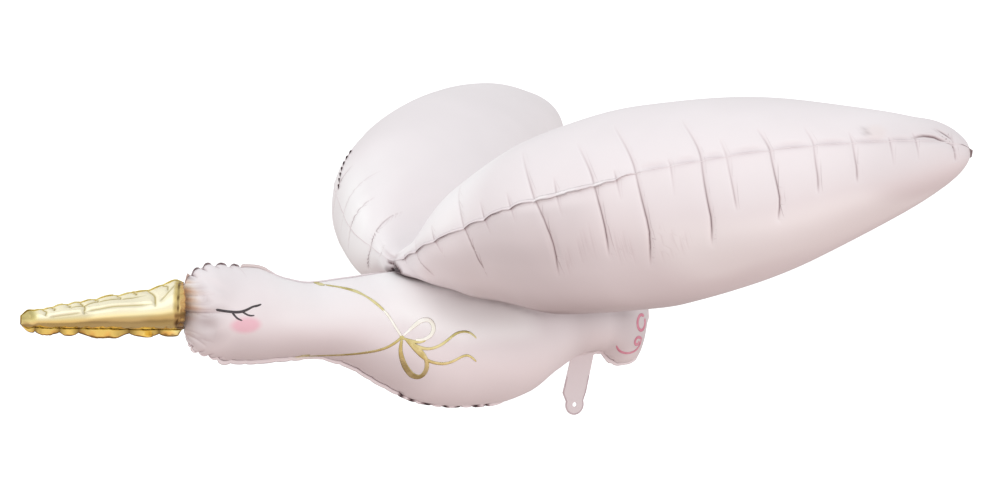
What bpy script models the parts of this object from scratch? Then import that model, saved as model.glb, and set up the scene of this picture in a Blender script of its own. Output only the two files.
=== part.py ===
"""A stork-shaped foil balloon in flight, in metres, +Z up.

The bird flies towards -X, its left side faces -Y, and the origin is the ribbon hole
in the filling tab under its belly. Three sealed foil envelopes make it: the long body
with head, neck, tail and filling tab, the beak, and one double wing balloon whose
waist lies across the back. Each envelope is two sheets welded along their outline, so
every section is a lens with a thin welded lip at both ends.
"""
import math

import bmesh
import bpy
import numpy as np
from mathutils import Vector

# The weld: the lip round every outline, and the gaps kept between the envelopes.
LIP_WIDTH = 0.005
LIP_THICKNESS = 0.0010
JOINT_GAP = 0.0003
WAIST_GAP = 0.0006

# Body, from the beak's joint to the end of the tail, with the ribbon hole below it.
BODY_LENGTH = 0.708
BODY_HEIGHT = 0.209
BODY_THICKNESS = 0.166
HOLE_SHARE = 0.832
BELLY_Z = 0.010
BODY_STATIONS = 60
# Share of the length, then back and belly in shares of the height, and half thickness.
BODY_PROFILE = (
    (0.000, 0.885, 0.589, 0.000), (0.006, 0.917, 0.531, 0.229), (0.016, 0.952, 0.483, 0.384),
    (0.028, 0.976, 0.455, 0.482), (0.052, 1.000, 0.428, 0.578), (0.096, 0.986, 0.397, 0.639),
    (0.145, 0.971, 0.385, 0.639), (0.198, 0.903, 0.390, 0.596), (0.260, 0.861, 0.385, 0.578),
    (0.329, 0.875, 0.328, 0.651), (0.408, 0.902, 0.179, 0.819), (0.486, 0.909, 0.050, 0.958),
    (0.564, 0.904, 0.002, 0.999), (0.641, 0.886, 0.001, 0.978), (0.712, 0.854, 0.058, 0.892),
    (0.775, 0.815, 0.184, 0.752), (0.832, 0.775, 0.278, 0.602), (0.886, 0.730, 0.294, 0.487),
    (0.910, 0.734, 0.251, 0.455), (0.934, 0.750, 0.215, 0.422), (0.953, 0.750, 0.218, 0.372),
    (0.969, 0.733, 0.238, 0.313), (0.979, 0.690, 0.298, 0.259), (0.987, 0.636, 0.397, 0.193),
    (0.994, 0.607, 0.469, 0.100), (1.000, 0.565, 0.517, 0.000),
)

# Beak: a long cone with a wide ruffled weld below, its foot against the body's joint.
BEAK_LENGTH = 0.219
BEAK_HEIGHT = 0.062
BEAK_THICKNESS = 0.059
BEAK_LOWER_LIP = 0.0105
BEAK_STATIONS = 24
# Share of the length from the joint, then top, bottom and half thickness as for the body.
BEAK_PROFILE = (
    (0.000, 0.500, -0.435, 0.000), (0.014, 0.516, -0.434, 0.576), (0.041, 0.532, -0.432, 0.881),
    (0.105, 0.491, -0.424, 1.000), (0.210, 0.417, -0.407, 0.948), (0.324, 0.353, -0.383, 0.847),
    (0.507, 0.278, -0.339, 0.703), (0.689, 0.223, -0.300, 0.557), (0.872, 0.130, -0.252, 0.390),
    (0.963, 0.065, -0.202, 0.246), (0.986, 0.028, -0.162, 0.143), (1.000, 0.000, -0.129, 0.000),
)

# Filling tab: a flat tongue of both sheets below the belly, its round hole at the origin.
TAB_THICKNESS = 0.0016
TAB_END_RADIUS = 0.0145
TAB_HOLE_RADIUS = 0.0035
TAB_SHOULDER_ANGLE = math.radians(20)
TAB_HIP_Z = 0.0175
TAB_HIP_FRONT_X = -0.0190
TAB_HIP_REAR_X = 0.0185
TAB_ROOT_FRONT_X = -0.0010
TAB_ROOT_REAR_X = 0.0340
TAB_ROOT_DEPTH = 0.0170
ROUND_STEPS = 24

# Wings: a centre line from the waist, at a share of the body's length, to each tip.
WAIST_SHARE = 0.455
WAIST_BEND_SHARE = 0.05
WING_LENGTH = 0.807
WING_CHORD = 0.302
WING_THICKNESS = 0.260
WING_SWEEP_ANGLE = math.radians(44.5)
WING_DIHEDRAL_ANGLE = math.radians(12.2)
WING_TWIST_ANGLE = math.radians(14.5)
WING_BOW_UP = 0.0035
WING_BOW_FORWARD = 0.020
WING_FAN_SHARE = 0.25
WING_TIP_WIDTH = 0.008
WING_STATIONS = 28
# Share of the length, then front, rear and half thickness in shares of half the chord and
# half the thickness. The root of the share that is left rounds all three off at the tip.
WING_PROFILE = (
    (0.00, 0.099, 0.728, 0.081), (0.06, 0.212, 0.762, 0.185), (0.16, 0.629, 0.894, 0.685),
    (0.32, 1.192, 1.192, 1.127), (0.50, 1.358, 1.358, 1.431), (0.70, 1.421, 1.421, 1.562),
    (0.87, 1.335, 1.335, 1.480), (1.00, 1.260, 1.260, 1.480),
)

# Points on each sheet of a section between its two lips, and how far stations crowd at ends.
SHEET_POINTS = 9
CROWDING_SHARE = 0.6
CLOSED_HALF = 1e-6
SHARP_ANGLE = math.radians(40)

FOIL_PINK = (0.86, 0.78, 0.79, 1.0)
FOIL_GOLD = (0.83, 0.62, 0.22, 1.0)


def smooth_curve(x, y):
    """A function through the stations that keeps their rises and falls and adds none."""
    width = np.diff(x)
    slope = np.diff(y) / width
    tangent = np.concatenate([slope[:1], np.zeros(len(x) - 2), slope[-1:]])
    for k in range(1, len(x) - 1):
        before, after = slope[k - 1], slope[k]
        if before * after > 0:
            near, far = width[k - 1] + 2 * width[k], 2 * width[k - 1] + width[k]
            tangent[k] = (near + far) * before * after / (near * after + far * before)

    def value(at):
        k = min(max(int(np.searchsorted(x, at)) - 1, 0), len(width) - 1)
        u = (at - x[k]) / width[k]
        bend = u * (1 - u) * ((1 - u) * tangent[k] - u * tangent[k + 1])
        return float(y[k] + eased(u) * (y[k + 1] - y[k]) + bend * width[k])

    return value


def curves_of(profile):
    """One smooth function of the share for each column after the first."""
    columns = np.array(profile, float).T
    return [smooth_curve(columns[0], column) for column in columns[1:]]


def eased(share):
    share = min(max(share, 0.0), 1.0)
    return share * share * (3 - 2 * share)


def body_place(share):
    """X, back height, belly height and half thickness at this share of the body's length."""
    back, belly, half = [curve(share) for curve in curves_of(BODY_PROFILE)]
    return (BODY_LENGTH * (share - HOLE_SHARE), BELLY_Z + BODY_HEIGHT * back,
            BELLY_Z + BODY_HEIGHT * belly, BODY_THICKNESS / 2 * half)


def stations(count):
    """Shares from 0 to 1, closer together at both ends."""
    even = [k / count for k in range(count + 1)]
    return [u + CROWDING_SHARE * ((1 - math.cos(math.pi * u)) / 2 - u) for u in even]


def lens_section(front, rear, half, front_lip, rear_lip, lip_half):
    """One section's points (across, up): round the upper sheet, then back along the lower."""
    sheet = [(front + front_lip, lip_half)]
    for k in range(SHEET_POINTS + 2):
        angle = math.pi * k / (SHEET_POINTS + 1)
        reach = front if angle < math.pi / 2 else rear
        sheet.append((reach * math.cos(angle), max(half * math.sin(angle), lip_half)))
    sheet.append((-rear - rear_lip, lip_half))
    return sheet + [(across, -up) for across, up in reversed(sheet)]


def finished(name, mesh, material):
    bmesh.ops.recalc_face_normals(mesh, faces=mesh.faces)
    data = bpy.data.meshes.new(name)
    mesh.to_mesh(data)
    mesh.free()
    data.shade_smooth()
    data.set_sharp_from_angle(angle=SHARP_ANGLE)
    data.materials.append(material)
    item = bpy.data.objects.new(name, data)
    bpy.context.scene.collection.objects.link(item)
    return item


def loft(name, rings, material):
    """A closed object skinned over rings of as many points each, capped at both ends."""
    mesh = bmesh.new()
    rows = [[mesh.verts.new(point) for point in ring] for ring in rings]
    count = len(rows[0])
    for row, following in zip(rows, rows[1:]):
        for k in range(count):
            after = (k + 1) % count
            mesh.faces.new((row[k], row[after], following[after], following[k]))
    for row in (rows[0], rows[-1]):
        for k in range(count // 2 - 1):
            mesh.faces.new((row[k], row[k + 1], row[count - 2 - k], row[count - 1 - k]))
    return finished(name, mesh, material)


def foil(name, colour, roughness, metallic):
    material = bpy.data.materials.new(name)
    material.use_nodes = True
    shader = material.node_tree.nodes["Principled BSDF"]
    shader.inputs["Base Color"].default_value = colour
    shader.inputs["Roughness"].default_value = roughness
    shader.inputs["Metallic"].default_value = metallic
    material.diffuse_color = colour
    return material


def upright_ring(x, top, bottom, half, top_lip, bottom_lip, grow=0.0):
    """A section across X whose sheets face left and right, welded above and below."""
    middle, reach = (top + bottom) / 2, (top - bottom) / 2 + grow
    section = lens_section(reach, reach, max(half, CLOSED_HALF) + grow, top_lip, bottom_lip,
                           LIP_THICKNESS / 2 + grow)
    return [(x, -up, middle + across) for across, up in section]


def body_rings(grow=0.0):
    """From the beak's joint to the tail, whose closed end has a lip of its own."""
    rings = []
    for share in stations(BODY_STATIONS):
        x, back, belly, half = body_place(share)
        x += JOINT_GAP / 2 * (1 - share)
        rings.append(upright_ring(x, back, belly, half, LIP_WIDTH, LIP_WIDTH, grow))
    return rings + [upright_ring(x + LIP_WIDTH + grow, back, belly, 0.0, 0.0, 0.0, grow)]


def beak_rings():
    """From the joint to the tip, whose closed end has a lip of its own."""
    joint_x, back, belly, _ = body_place(0.0)
    axis_z = (back + belly) / 2
    rings = []
    for share in stations(BEAK_STATIONS):
        top, bottom, half = [curve(share) for curve in curves_of(BEAK_PROFILE)]
        x = joint_x - JOINT_GAP / 2 - BEAK_LENGTH * share
        top, bottom = axis_z + BEAK_HEIGHT * top, axis_z + BEAK_HEIGHT * bottom
        rings.append(upright_ring(x, top, bottom, BEAK_THICKNESS / 2 * half, LIP_WIDTH,
                                  BEAK_LOWER_LIP))
    return rings + [upright_ring(x - LIP_WIDTH, top, bottom, 0.0, 0.0, 0.0)]


def tab_outline():
    """The tongue's corners (x, z), down its front edge, round its end and up its rear edge."""
    root_z = body_place(HOLE_SHARE)[2] + TAB_ROOT_DEPTH
    outline = [(TAB_ROOT_FRONT_X, root_z), (TAB_HIP_FRONT_X, TAB_HIP_Z)]
    for k in range(ROUND_STEPS // 2 + 1):
        turn = (math.pi + 2 * TAB_SHOULDER_ANGLE) * k / (ROUND_STEPS // 2)
        angle = math.pi - TAB_SHOULDER_ANGLE + turn
        outline.append((TAB_END_RADIUS * math.cos(angle), TAB_END_RADIUS * math.sin(angle)))
    return outline + [(TAB_HIP_REAR_X, TAB_HIP_Z), (TAB_ROOT_REAR_X, root_z)]


def slab(name, outline, thickness, material):
    """A flat plate across Y with this outline in X and Z."""
    mesh = bmesh.new()
    face = mesh.faces.new([mesh.verts.new((x, -thickness / 2, z)) for x, z in outline])
    grown = bmesh.ops.extrude_face_region(mesh, geom=[face])
    moved = [item for item in grown["geom"] if isinstance(item, bmesh.types.BMVert)]
    bmesh.ops.translate(mesh, verts=moved, vec=(0, thickness, 0))
    return finished(name, mesh, material)


def tab_hole(material):
    turns = [math.tau * k / ROUND_STEPS for k in range(ROUND_STEPS)]
    circle = [(TAB_HOLE_RADIUS * math.cos(turn), TAB_HOLE_RADIUS * math.sin(turn))
              for turn in turns]
    return slab("tab_hole", circle, 3 * TAB_THICKNESS, material)


def waist():
    """The wings' middle: half its thickness above the lip along the back."""
    x, back, _, _ = body_place(WAIST_SHARE)
    half = WING_THICKNESS / 2 * WING_PROFILE[0][-1]
    return Vector((x, 0, back + LIP_WIDTH + WAIST_GAP + half))


def wing_frame(share, side):
    """Centre, forward, up and outward directions at this share of the wing's length."""
    out = Vector((math.sin(WING_SWEEP_ANGLE) * math.cos(WING_DIHEDRAL_ANGLE),
                  -math.cos(WING_SWEEP_ANGLE) * math.cos(WING_DIHEDRAL_ANGLE), math.sin(WING_DIHEDRAL_ANGLE)))
    ahead = Vector((-1, 0, 0))
    across = (ahead - out * ahead.dot(out)).normalized()
    above = across.cross(out)
    bow = 4 * share * (1 - share)
    swept = WING_LENGTH * (math.hypot(share, WAIST_BEND_SHARE) - WAIST_BEND_SHARE)
    centre = waist() + Vector((out.x * swept, out.y * WING_LENGTH * share, out.z * swept))
    centre += above * (WING_BOW_UP * bow) + across * (WING_BOW_FORWARD * bow)
    twist = WING_TWIST_ANGLE * share
    fan = eased(share / WING_FAN_SHARE)
    forward = ahead.lerp(across * math.cos(twist) + above * math.sin(twist), fan).normalized()
    up = Vector((0, 0, 1)).lerp(above, fan)
    up = (up - forward * up.dot(forward)).normalized()
    if side > 0:
        for direction in (centre, forward, up, out):
            direction.y = -direction.y
    return centre, forward, up, out


def wing_tip_ring(side):
    centre, forward, up, out = wing_frame(1.0, side)
    tip = WING_TIP_WIDTH / 2
    section = lens_section(tip, tip, 0.0, 0.0, 0.0, LIP_THICKNESS / 2)
    return [centre + out * LIP_WIDTH + forward * across + up * rise for across, rise in section]


def wing_rings():
    """Sections from the left wing's tip over the waist to the right wing's tip."""
    front, rear, thickness = curves_of(WING_PROFILE)
    rings = []
    for k in range(-WING_STATIONS, WING_STATIONS + 1):
        share = math.sin(math.pi / 2 * abs(k) / WING_STATIONS)
        centre, forward, up, _ = wing_frame(share, k)
        left = math.sqrt(1 - share)
        sizes = [max(WING_CHORD / 2 * size(share) * left, WING_TIP_WIDTH / 2)
                 for size in (front, rear)]
        section = lens_section(*sizes, WING_THICKNESS / 2 * thickness(share) * left,
                               LIP_WIDTH, LIP_WIDTH, LIP_THICKNESS / 2)
        rings.append([centre + forward * across + up * rise for across, rise in section])
    return [wing_tip_ring(-1)] + rings + [wing_tip_ring(1)]


def boolean(item, operation, other):
    modifier = item.modifiers.new(other.name, "BOOLEAN")
    modifier.operation = operation
    modifier.solver = "EXACT"
    modifier.object = other
    other.hide_render = True
    other.display_type = "WIRE"


def build():
    for item in list(bpy.data.objects):
        bpy.data.objects.remove(item)
    pink = foil("pink_foil", FOIL_PINK, 0.35, 0.25)
    gold = foil("gold_foil", FOIL_GOLD, 0.18, 1.0)
    body = loft("body", body_rings(), pink)
    boolean(body, "UNION", slab("filling_tab", tab_outline(), TAB_THICKNESS, pink))
    boolean(body, "DIFFERENCE", tab_hole(pink))
    loft("beak", beak_rings(), gold)
    wings = loft("wings", wing_rings(), pink)
    boolean(wings, "DIFFERENCE", loft("back_clearance", body_rings(WAIST_GAP), pink))


build()
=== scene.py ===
import math

import bpy
import numpy as np
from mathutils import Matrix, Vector, kdtree


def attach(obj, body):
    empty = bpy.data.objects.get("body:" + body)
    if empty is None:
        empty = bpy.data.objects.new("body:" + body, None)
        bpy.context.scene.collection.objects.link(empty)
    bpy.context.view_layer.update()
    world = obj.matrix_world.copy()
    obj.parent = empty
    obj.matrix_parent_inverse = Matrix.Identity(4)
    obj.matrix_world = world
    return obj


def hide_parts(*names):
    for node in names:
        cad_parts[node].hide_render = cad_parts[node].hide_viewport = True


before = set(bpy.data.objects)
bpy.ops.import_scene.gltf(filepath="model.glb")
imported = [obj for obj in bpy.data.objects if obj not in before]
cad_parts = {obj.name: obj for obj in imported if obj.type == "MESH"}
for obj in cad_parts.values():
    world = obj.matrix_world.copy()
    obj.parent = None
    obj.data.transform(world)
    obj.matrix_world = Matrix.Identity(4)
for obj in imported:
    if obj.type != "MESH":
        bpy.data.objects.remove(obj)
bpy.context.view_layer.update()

# Sizes in metres

LIP_WIDTH = 0.005
LIP_THICKNESS = 0.0006
WAIST_GAP = 0.0006

BODY_LENGTH = 0.708
BODY_HEIGHT = 0.209
BODY_THICKNESS = 0.166
HOLE_SHARE = 0.832
BELLY_Z = 0.01
BODY_PROFILE = (  # share of the length, back, belly, half thickness
    (0.000, 0.885, 0.589, 0.000), (0.006, 0.917, 0.531, 0.229), (0.016, 0.952, 0.483, 0.384),
    (0.028, 0.976, 0.455, 0.482), (0.052, 1.000, 0.428, 0.578), (0.096, 0.986, 0.397, 0.639),
    (0.145, 0.971, 0.385, 0.639), (0.198, 0.903, 0.390, 0.596), (0.260, 0.861, 0.385, 0.578),
    (0.329, 0.875, 0.328, 0.651), (0.408, 0.902, 0.179, 0.819), (0.486, 0.909, 0.050, 0.958),
    (0.564, 0.904, 0.002, 0.999), (0.641, 0.886, 0.001, 0.978), (0.712, 0.854, 0.058, 0.892),
    (0.775, 0.815, 0.184, 0.752), (0.832, 0.775, 0.278, 0.602), (0.886, 0.730, 0.294, 0.487),
    (0.910, 0.734, 0.251, 0.455), (0.934, 0.750, 0.215, 0.422), (0.953, 0.750, 0.218, 0.372),
    (0.969, 0.733, 0.238, 0.313), (0.979, 0.690, 0.298, 0.259), (0.987, 0.636, 0.397, 0.193),
    (0.994, 0.607, 0.469, 0.100), (1.000, 0.565, 0.517, 0.000),
)

BEAK_LENGTH = 0.219
BEAK_HEIGHT = 0.062
BEAK_THICKNESS = 0.059
BEAK_LOWER_LIP = 0.0105
JOINT_GAP = 0.0003
BEAK_PROFILE = (  # share from the joint, top, bottom, half thickness
    (0.000, 0.500, -0.435, 0.000), (0.014, 0.516, -0.434, 0.576), (0.041, 0.532, -0.432, 0.881),
    (0.105, 0.491, -0.424, 1.000), (0.210, 0.417, -0.407, 0.948), (0.324, 0.353, -0.383, 0.847),
    (0.507, 0.278, -0.339, 0.703), (0.689, 0.223, -0.300, 0.557), (0.872, 0.130, -0.252, 0.390),
    (0.963, 0.065, -0.202, 0.246), (0.986, 0.028, -0.162, 0.143), (1.000, 0.000, -0.129, 0.000),
)

TAB_THICKNESS = 0.0016
TAB_END_RADIUS = 0.0145
TAB_HOLE_RADIUS = 0.0035
TAB_SHOULDER_ANGLE = math.radians(20)
TAB_HIP_Z = 0.0175
TAB_HIPS_X = (-0.019, 0.0185)
TAB_ROOTS_X = (-0.001, 0.034)
TAB_ROOT_DEPTH = 0.017

WAIST_SHARE = 0.455
WAIST_BEND_SHARE = 0.05
WING_LENGTH = 0.807
WING_CHORD = 0.302
WING_THICKNESS = 0.26
WING_SWEEP_ANGLE = math.radians(44.5)
WING_DIHEDRAL_ANGLE = math.radians(12.2)
WING_TWIST_ANGLE = math.radians(14.5)
WING_BOW_UP = 0.0035
WING_BOW_FORWARD = 0.02
WING_FAN_SHARE = 0.25
WING_TIP_WIDTH = 0.008
WING_PROFILE = (  # share of the length, front, rear, half thickness, all times sqrt(1 - share)
    (0.00, 0.099, 0.728, 0.081), (0.06, 0.212, 0.762, 0.185), (0.16, 0.629, 0.894, 0.685),
    (0.32, 1.192, 1.192, 1.127), (0.50, 1.358, 1.358, 1.431), (0.70, 1.421, 1.421, 1.562),
    (0.87, 1.335, 1.335, 1.480), (1.00, 1.260, 1.260, 1.480),
)

# Creases that cross the front seam of the wing on the left, as the sheets pull in:
# seam share, end on the upper sheet (share, turn), two points on the lower sheet, all in
# thousandths, and the depth in mm. A turn is the angle round the wing from the front seam (0)
# to the rear seam (1).
LEFT_FRONT_CREASES = (
    (60, (58, 60), (64, 60), (70, 120), 1.2),
    (105, (98, 140), (114, 110), (128, 270), 1.5),
    (152, (144, 110), (157, 70), (164, 160), 1.4),
    (203, (181, 310), (210, 160), (214, 290), 2.3),
    (240, (235, 80), (243, 50), (247, 110), 1.4),
    (295, (290, 60), (297, 40), (300, 90), 1.0),
    (339, (312, 240), (352, 170), (342, 300), 3.0),
    (378, (376, 60), (379, 50), (381, 110), 1.1),
    (441, (414, 170), (444, 140), (435, 260), 3.0),
    (478, (476, 30), (479, 40), (480, 90), 1.2),
    (510, (472, 220), (513, 160), (493, 310), 3.2),
    (566, (562, 30), (566, 50), (564, 100), 0.7),
    (614, (583, 190), (613, 170), (600, 290), 3.0),
    (653, (644, 80), (656, 100), (655, 180), 1.3),
    (719, (700, 110), (723, 150), (710, 270), 2.7),
    (784, (770, 110), (784, 100), (779, 200), 1.7),
    (841, (836, 80), (842, 100), (838, 200), 1.7),
    (895, (893, 40), (896, 70), (895, 150), 1.0),
    (932, (927, 90), (933, 70), (932, 150), 1.2),
    (982, (979, 250), (982, 150), (980, 300), 1.4),
)
# The same for the wing on the right, of which the photograph shows a part.
RIGHT_FRONT_CREASES = (
    (50, (52, 200), (56, 60), (60, 120), 1.2),
    (90, (104, 480), (96, 80), (118, 270), 2.4),
    (152, (142, 260), (154, 60), (160, 150), 2.2),
    (192, (191, 310), (196, 50), (200, 110), 1.0),
    (262, (252, 160), (266, 90), (268, 200), 2.2),
    (330, (312, 120), (334, 100), (336, 180), 1.6),
    (398, (372, 210), (404, 150), (398, 280), 2.8),
    (462, (452, 80), (464, 60), (466, 140), 1.3),
    (528, (498, 200), (532, 160), (520, 270), 3.0),
    (590, (584, 60), (592, 60), (592, 120), 1.2),
    (642, (618, 180), (645, 140), (636, 270), 2.7),
    (716, (700, 120), (719, 120), (712, 230), 2.4),
    (776, (768, 80), (778, 80), (776, 160), 1.4),
    (836, (826, 120), (838, 100), (834, 190), 1.9),
    (892, (889, 50), (893, 60), (892, 130), 1.1),
    (940, (934, 100), (941, 80), (938, 180), 1.4),
    (980, (977, 200), (981, 150), (979, 280), 1.2),
)

WING_COLUMNS = 500
WING_ROWS = 86
BODY_COLUMNS = 400
BODY_ROWS = 95
BEAK_COLUMNS = 240
BEAK_ROWS = 80
SEAM_GATHER = 0.72  # how strongly the rows crowd by the seams
ARC_REACH = 0.012  # how far from a seam its arcs are felt

CHEEK_X, CHEEK_Z = -0.5229, 0.1435
CHEEK_LENGTH, CHEEK_HEIGHT = 0.0215, 0.011
PRINT_THICKNESS = 0.00025
PRINT_STEP = 0.0012
TAB_EDGE_RADIUS = 0.0003
TAB_SEAL_INSET = 0.001
TAB_SEAL_TOP_Z = 0.04
TAB_SEAL_WIDTH = 0.0016
TAB_SEAL_THICKNESS = 0.0002
VIEW_SLANT = 0.53  # x that the photograph's slanted view gains for each metre of y

FLOOR_Z = -0.47
FLOOR_HALF, FLOOR_RIM_HALF, FLOOR_RIM_RISE = 400.0, 5000.0, 150.0
CAMERA_DISTANCE = 4.2
CAMERA_LENS = 109.2


# The balloon's own curves

def eased(share):
    share = np.clip(share, 0.0, 1.0)
    return share * share * (3.0 - 2.0 * share)


def between(value, low, high):
    """0 up to low, 1 from high on, and an easy rise in the middle."""
    return eased((np.asarray(value, float) - low) / (high - low))


def window(value, low, full, fade, gone):
    """0 up to low, 1 from full to fade, 0 again from gone on."""
    return between(value, low, full) * (1 - between(value, fade, gone))


def bell(away, width):
    return np.exp(-(away / width) ** 2)


def distance(points, spot):
    return np.linalg.norm(points - spot, axis=-1)


def lengths_along(points):
    """How far along a line of points each one is."""
    return np.concatenate([[0], np.cumsum(np.linalg.norm(np.diff(points, axis=0), axis=1))])


def evenly(points, count):
    """The points' columns at this many even steps from the first point to the last."""
    at = np.linspace(0, 1, count)
    return [np.interp(at, np.linspace(0, 1, len(points)), column) for column in zip(*points)]


def there_and_back(first, second):
    """Values along one seam, back along the other one, and at the start again."""
    return np.concatenate([first, second[::-1], first[:1]])


def smooth_curve(x, y):
    """A curve through the points that never swings past them."""
    x, y = np.asarray(x, float), np.asarray(y, float)
    width = np.diff(x)
    slope = np.diff(y) / width
    tangent = np.concatenate([slope[:1], np.zeros(len(x) - 2), slope[-1:]])
    for k in range(1, len(x) - 1):
        if slope[k - 1] * slope[k] > 0:
            near, far = width[k - 1] + 2 * width[k], 2 * width[k - 1] + width[k]
            tangent[k] = (near + far) * slope[k - 1] * slope[k] / (near * slope[k] + far * slope[k - 1])

    def value(at):
        at = np.asarray(at, float)
        k = np.clip(np.searchsorted(x, at) - 1, 0, len(width) - 1)
        u = (at - x[k]) / width[k]
        bend = u * (1 - u) * ((1 - u) * tangent[k] - u * tangent[k + 1])
        return y[k] + eased(u) * (y[k + 1] - y[k]) + bend * width[k]

    return value


def curves_of(profile):
    columns = np.array(profile, float).T
    return [smooth_curve(columns[0], column) for column in columns[1:]]


BODY_CURVES = curves_of(BODY_PROFILE)
BEAK_CURVES = curves_of(BEAK_PROFILE)
WING_CURVES = curves_of(WING_PROFILE)


def unit(vectors):
    return vectors / np.maximum(np.linalg.norm(vectors, axis=-1, keepdims=True), 1e-12)


def body_place(share):
    back, belly, half = [curve(share) for curve in BODY_CURVES]
    return (BODY_LENGTH * (share - HOLE_SHARE), BELLY_Z + BODY_HEIGHT * back,
            BELLY_Z + BODY_HEIGHT * belly, BODY_THICKNESS / 2 * half)


def upright_skin(x, top, bottom, half, angle):
    """Points round upright lens sections. The angle is 0 on the top seam, pi on the bottom
    seam by way of the left side, and on to 2 pi by way of the right side."""
    middle, reach = (top + bottom) / 2, (top - bottom) / 2
    return np.stack([x + 0 * angle, -half * np.sin(angle), middle + reach * np.cos(angle)], -1)


def body_skin(share, angle):
    return upright_skin(*body_place(share), angle)


def beak_skin(share, angle):
    joint_x, back, belly, _ = body_place(0.0)
    axis_z = (back + belly) / 2
    top, bottom, half = [curve(share) for curve in BEAK_CURVES]
    blunt, middle = 1 + 0.4 * between(share, 0.93, 0.975), (top + bottom) / 2
    raised = 0.055 * (1 - between(share, 0.08, 0.22)) + 0.03 * bell(share - 0.47, 0.12)
    top, bottom = middle + (top - middle) * blunt + raised, middle + (bottom - middle) * blunt
    x = joint_x - JOINT_GAP / 2 - BEAK_LENGTH * share - 0.0045 * between(share, 0.9, 1.0)
    return upright_skin(x, axis_z + BEAK_HEIGHT * top, axis_z + BEAK_HEIGHT * bottom,
                        BEAK_THICKNESS / 2 * half * blunt, angle)


def wing_frame(span):
    """Middle, forward and up along both wings: span is -1 at the left tip, 0 at the waist."""
    span = np.asarray(span, float)
    share = np.abs(span)
    out = np.array([math.sin(WING_SWEEP_ANGLE) * math.cos(WING_DIHEDRAL_ANGLE),
                    -math.cos(WING_SWEEP_ANGLE) * math.cos(WING_DIHEDRAL_ANGLE),
                    math.sin(WING_DIHEDRAL_ANGLE)])
    ahead = np.array([-1.0, 0.0, 0.0])
    across = unit(ahead - out * ahead.dot(out))
    above = np.cross(across, out)
    bow = (4 * share * (1 - share))[..., None]
    swept = WING_LENGTH * (np.hypot(share, WAIST_BEND_SHARE) - WAIST_BEND_SHARE)
    x, back, _, _ = body_place(WAIST_SHARE)
    waist = np.array([float(x), 0.0, float(back) + LIP_WIDTH + WAIST_GAP
                      + WING_THICKNESS / 2 * WING_PROFILE[0][-1]])
    reach = WING_LENGTH * share + 0.0045 * between(share, 0.93, 1.0)
    middle = waist + np.stack([out[0] * swept, out[1] * reach, out[2] * swept], -1)
    middle = middle + above * (WING_BOW_UP * bow) + across * (WING_BOW_FORWARD * bow)
    twist = (WING_TWIST_ANGLE * share)[..., None]
    fan = eased(share / WING_FAN_SHARE)[..., None]
    turned = across * np.cos(twist) + above * np.sin(twist)
    forward = unit(ahead * (1 - fan) + turned * fan)
    up = np.array([0.0, 0.0, 1.0]) * (1 - fan) + above * fan
    up = unit(up - forward * np.sum(up * forward, -1, keepdims=True))
    mirror = np.stack([0 * span + 1, np.where(span > 0, -1.0, 1.0), 0 * span + 1], -1)
    return middle * mirror, forward * mirror, up * mirror


def front_fullness(span):
    """How full the lower sheet stands behind the front seam: 2 is an even oval, less is pinched."""
    left, right = -np.asarray(span, float), np.asarray(span, float)
    return (2 + 1.2 * window(left, 0.005, 0.03, 0.08, 0.13)
            - 0.42 * window(left, 0.1, 0.15, 0.42, 0.58)
            + 0.45 * window(left, 0.56, 0.7, 0.92, 1.0)
            + 0.55 * window(right, 0.02, 0.07, 0.28, 0.42))


def wing_skin(span, angle):
    """The angle is 0 on the front seam, pi on the rear one by way of the upper sheet."""
    share = np.abs(np.asarray(span, float))
    across, high = np.cos(angle), np.sin(angle)
    power = 2 / np.where((across > 0) & (high < 0), front_fullness(span), 2.0)
    across, high = np.sign(across) * np.abs(across) ** power, np.sign(high) * np.abs(high) ** power
    left = -np.asarray(span, float)
    sag = 0.13 * window(left, 0.09, 0.14, 0.18, 0.3)
    full = 0.1 * window(left, 0.92, 0.965, 0.978, 1.0)
    high = np.where(high < 0, high * (1 - sag), high * (1 + full))
    forth = 0.12 * window(left, 0.12, 0.22, 0.4, 0.5)
    across = across + np.where(high < 0, forth * high ** 2, 0.0)
    middle, forward, up = wing_frame(span)
    front, rear, half = [curve(share) for curve in WING_CURVES]
    taper = np.sqrt(np.clip(1 - share, 0, None))
    reach = np.where(np.cos(angle) > 0, front, rear) * WING_CHORD / 2 * taper
    reach = np.maximum(reach, WING_TIP_WIDTH / 2)
    half = np.maximum(WING_THICKNESS / 2 * half * taper, LIP_THICKNESS)
    return middle + forward * (reach * across)[..., None] + up * (half * high)[..., None]


# Foil skins

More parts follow.
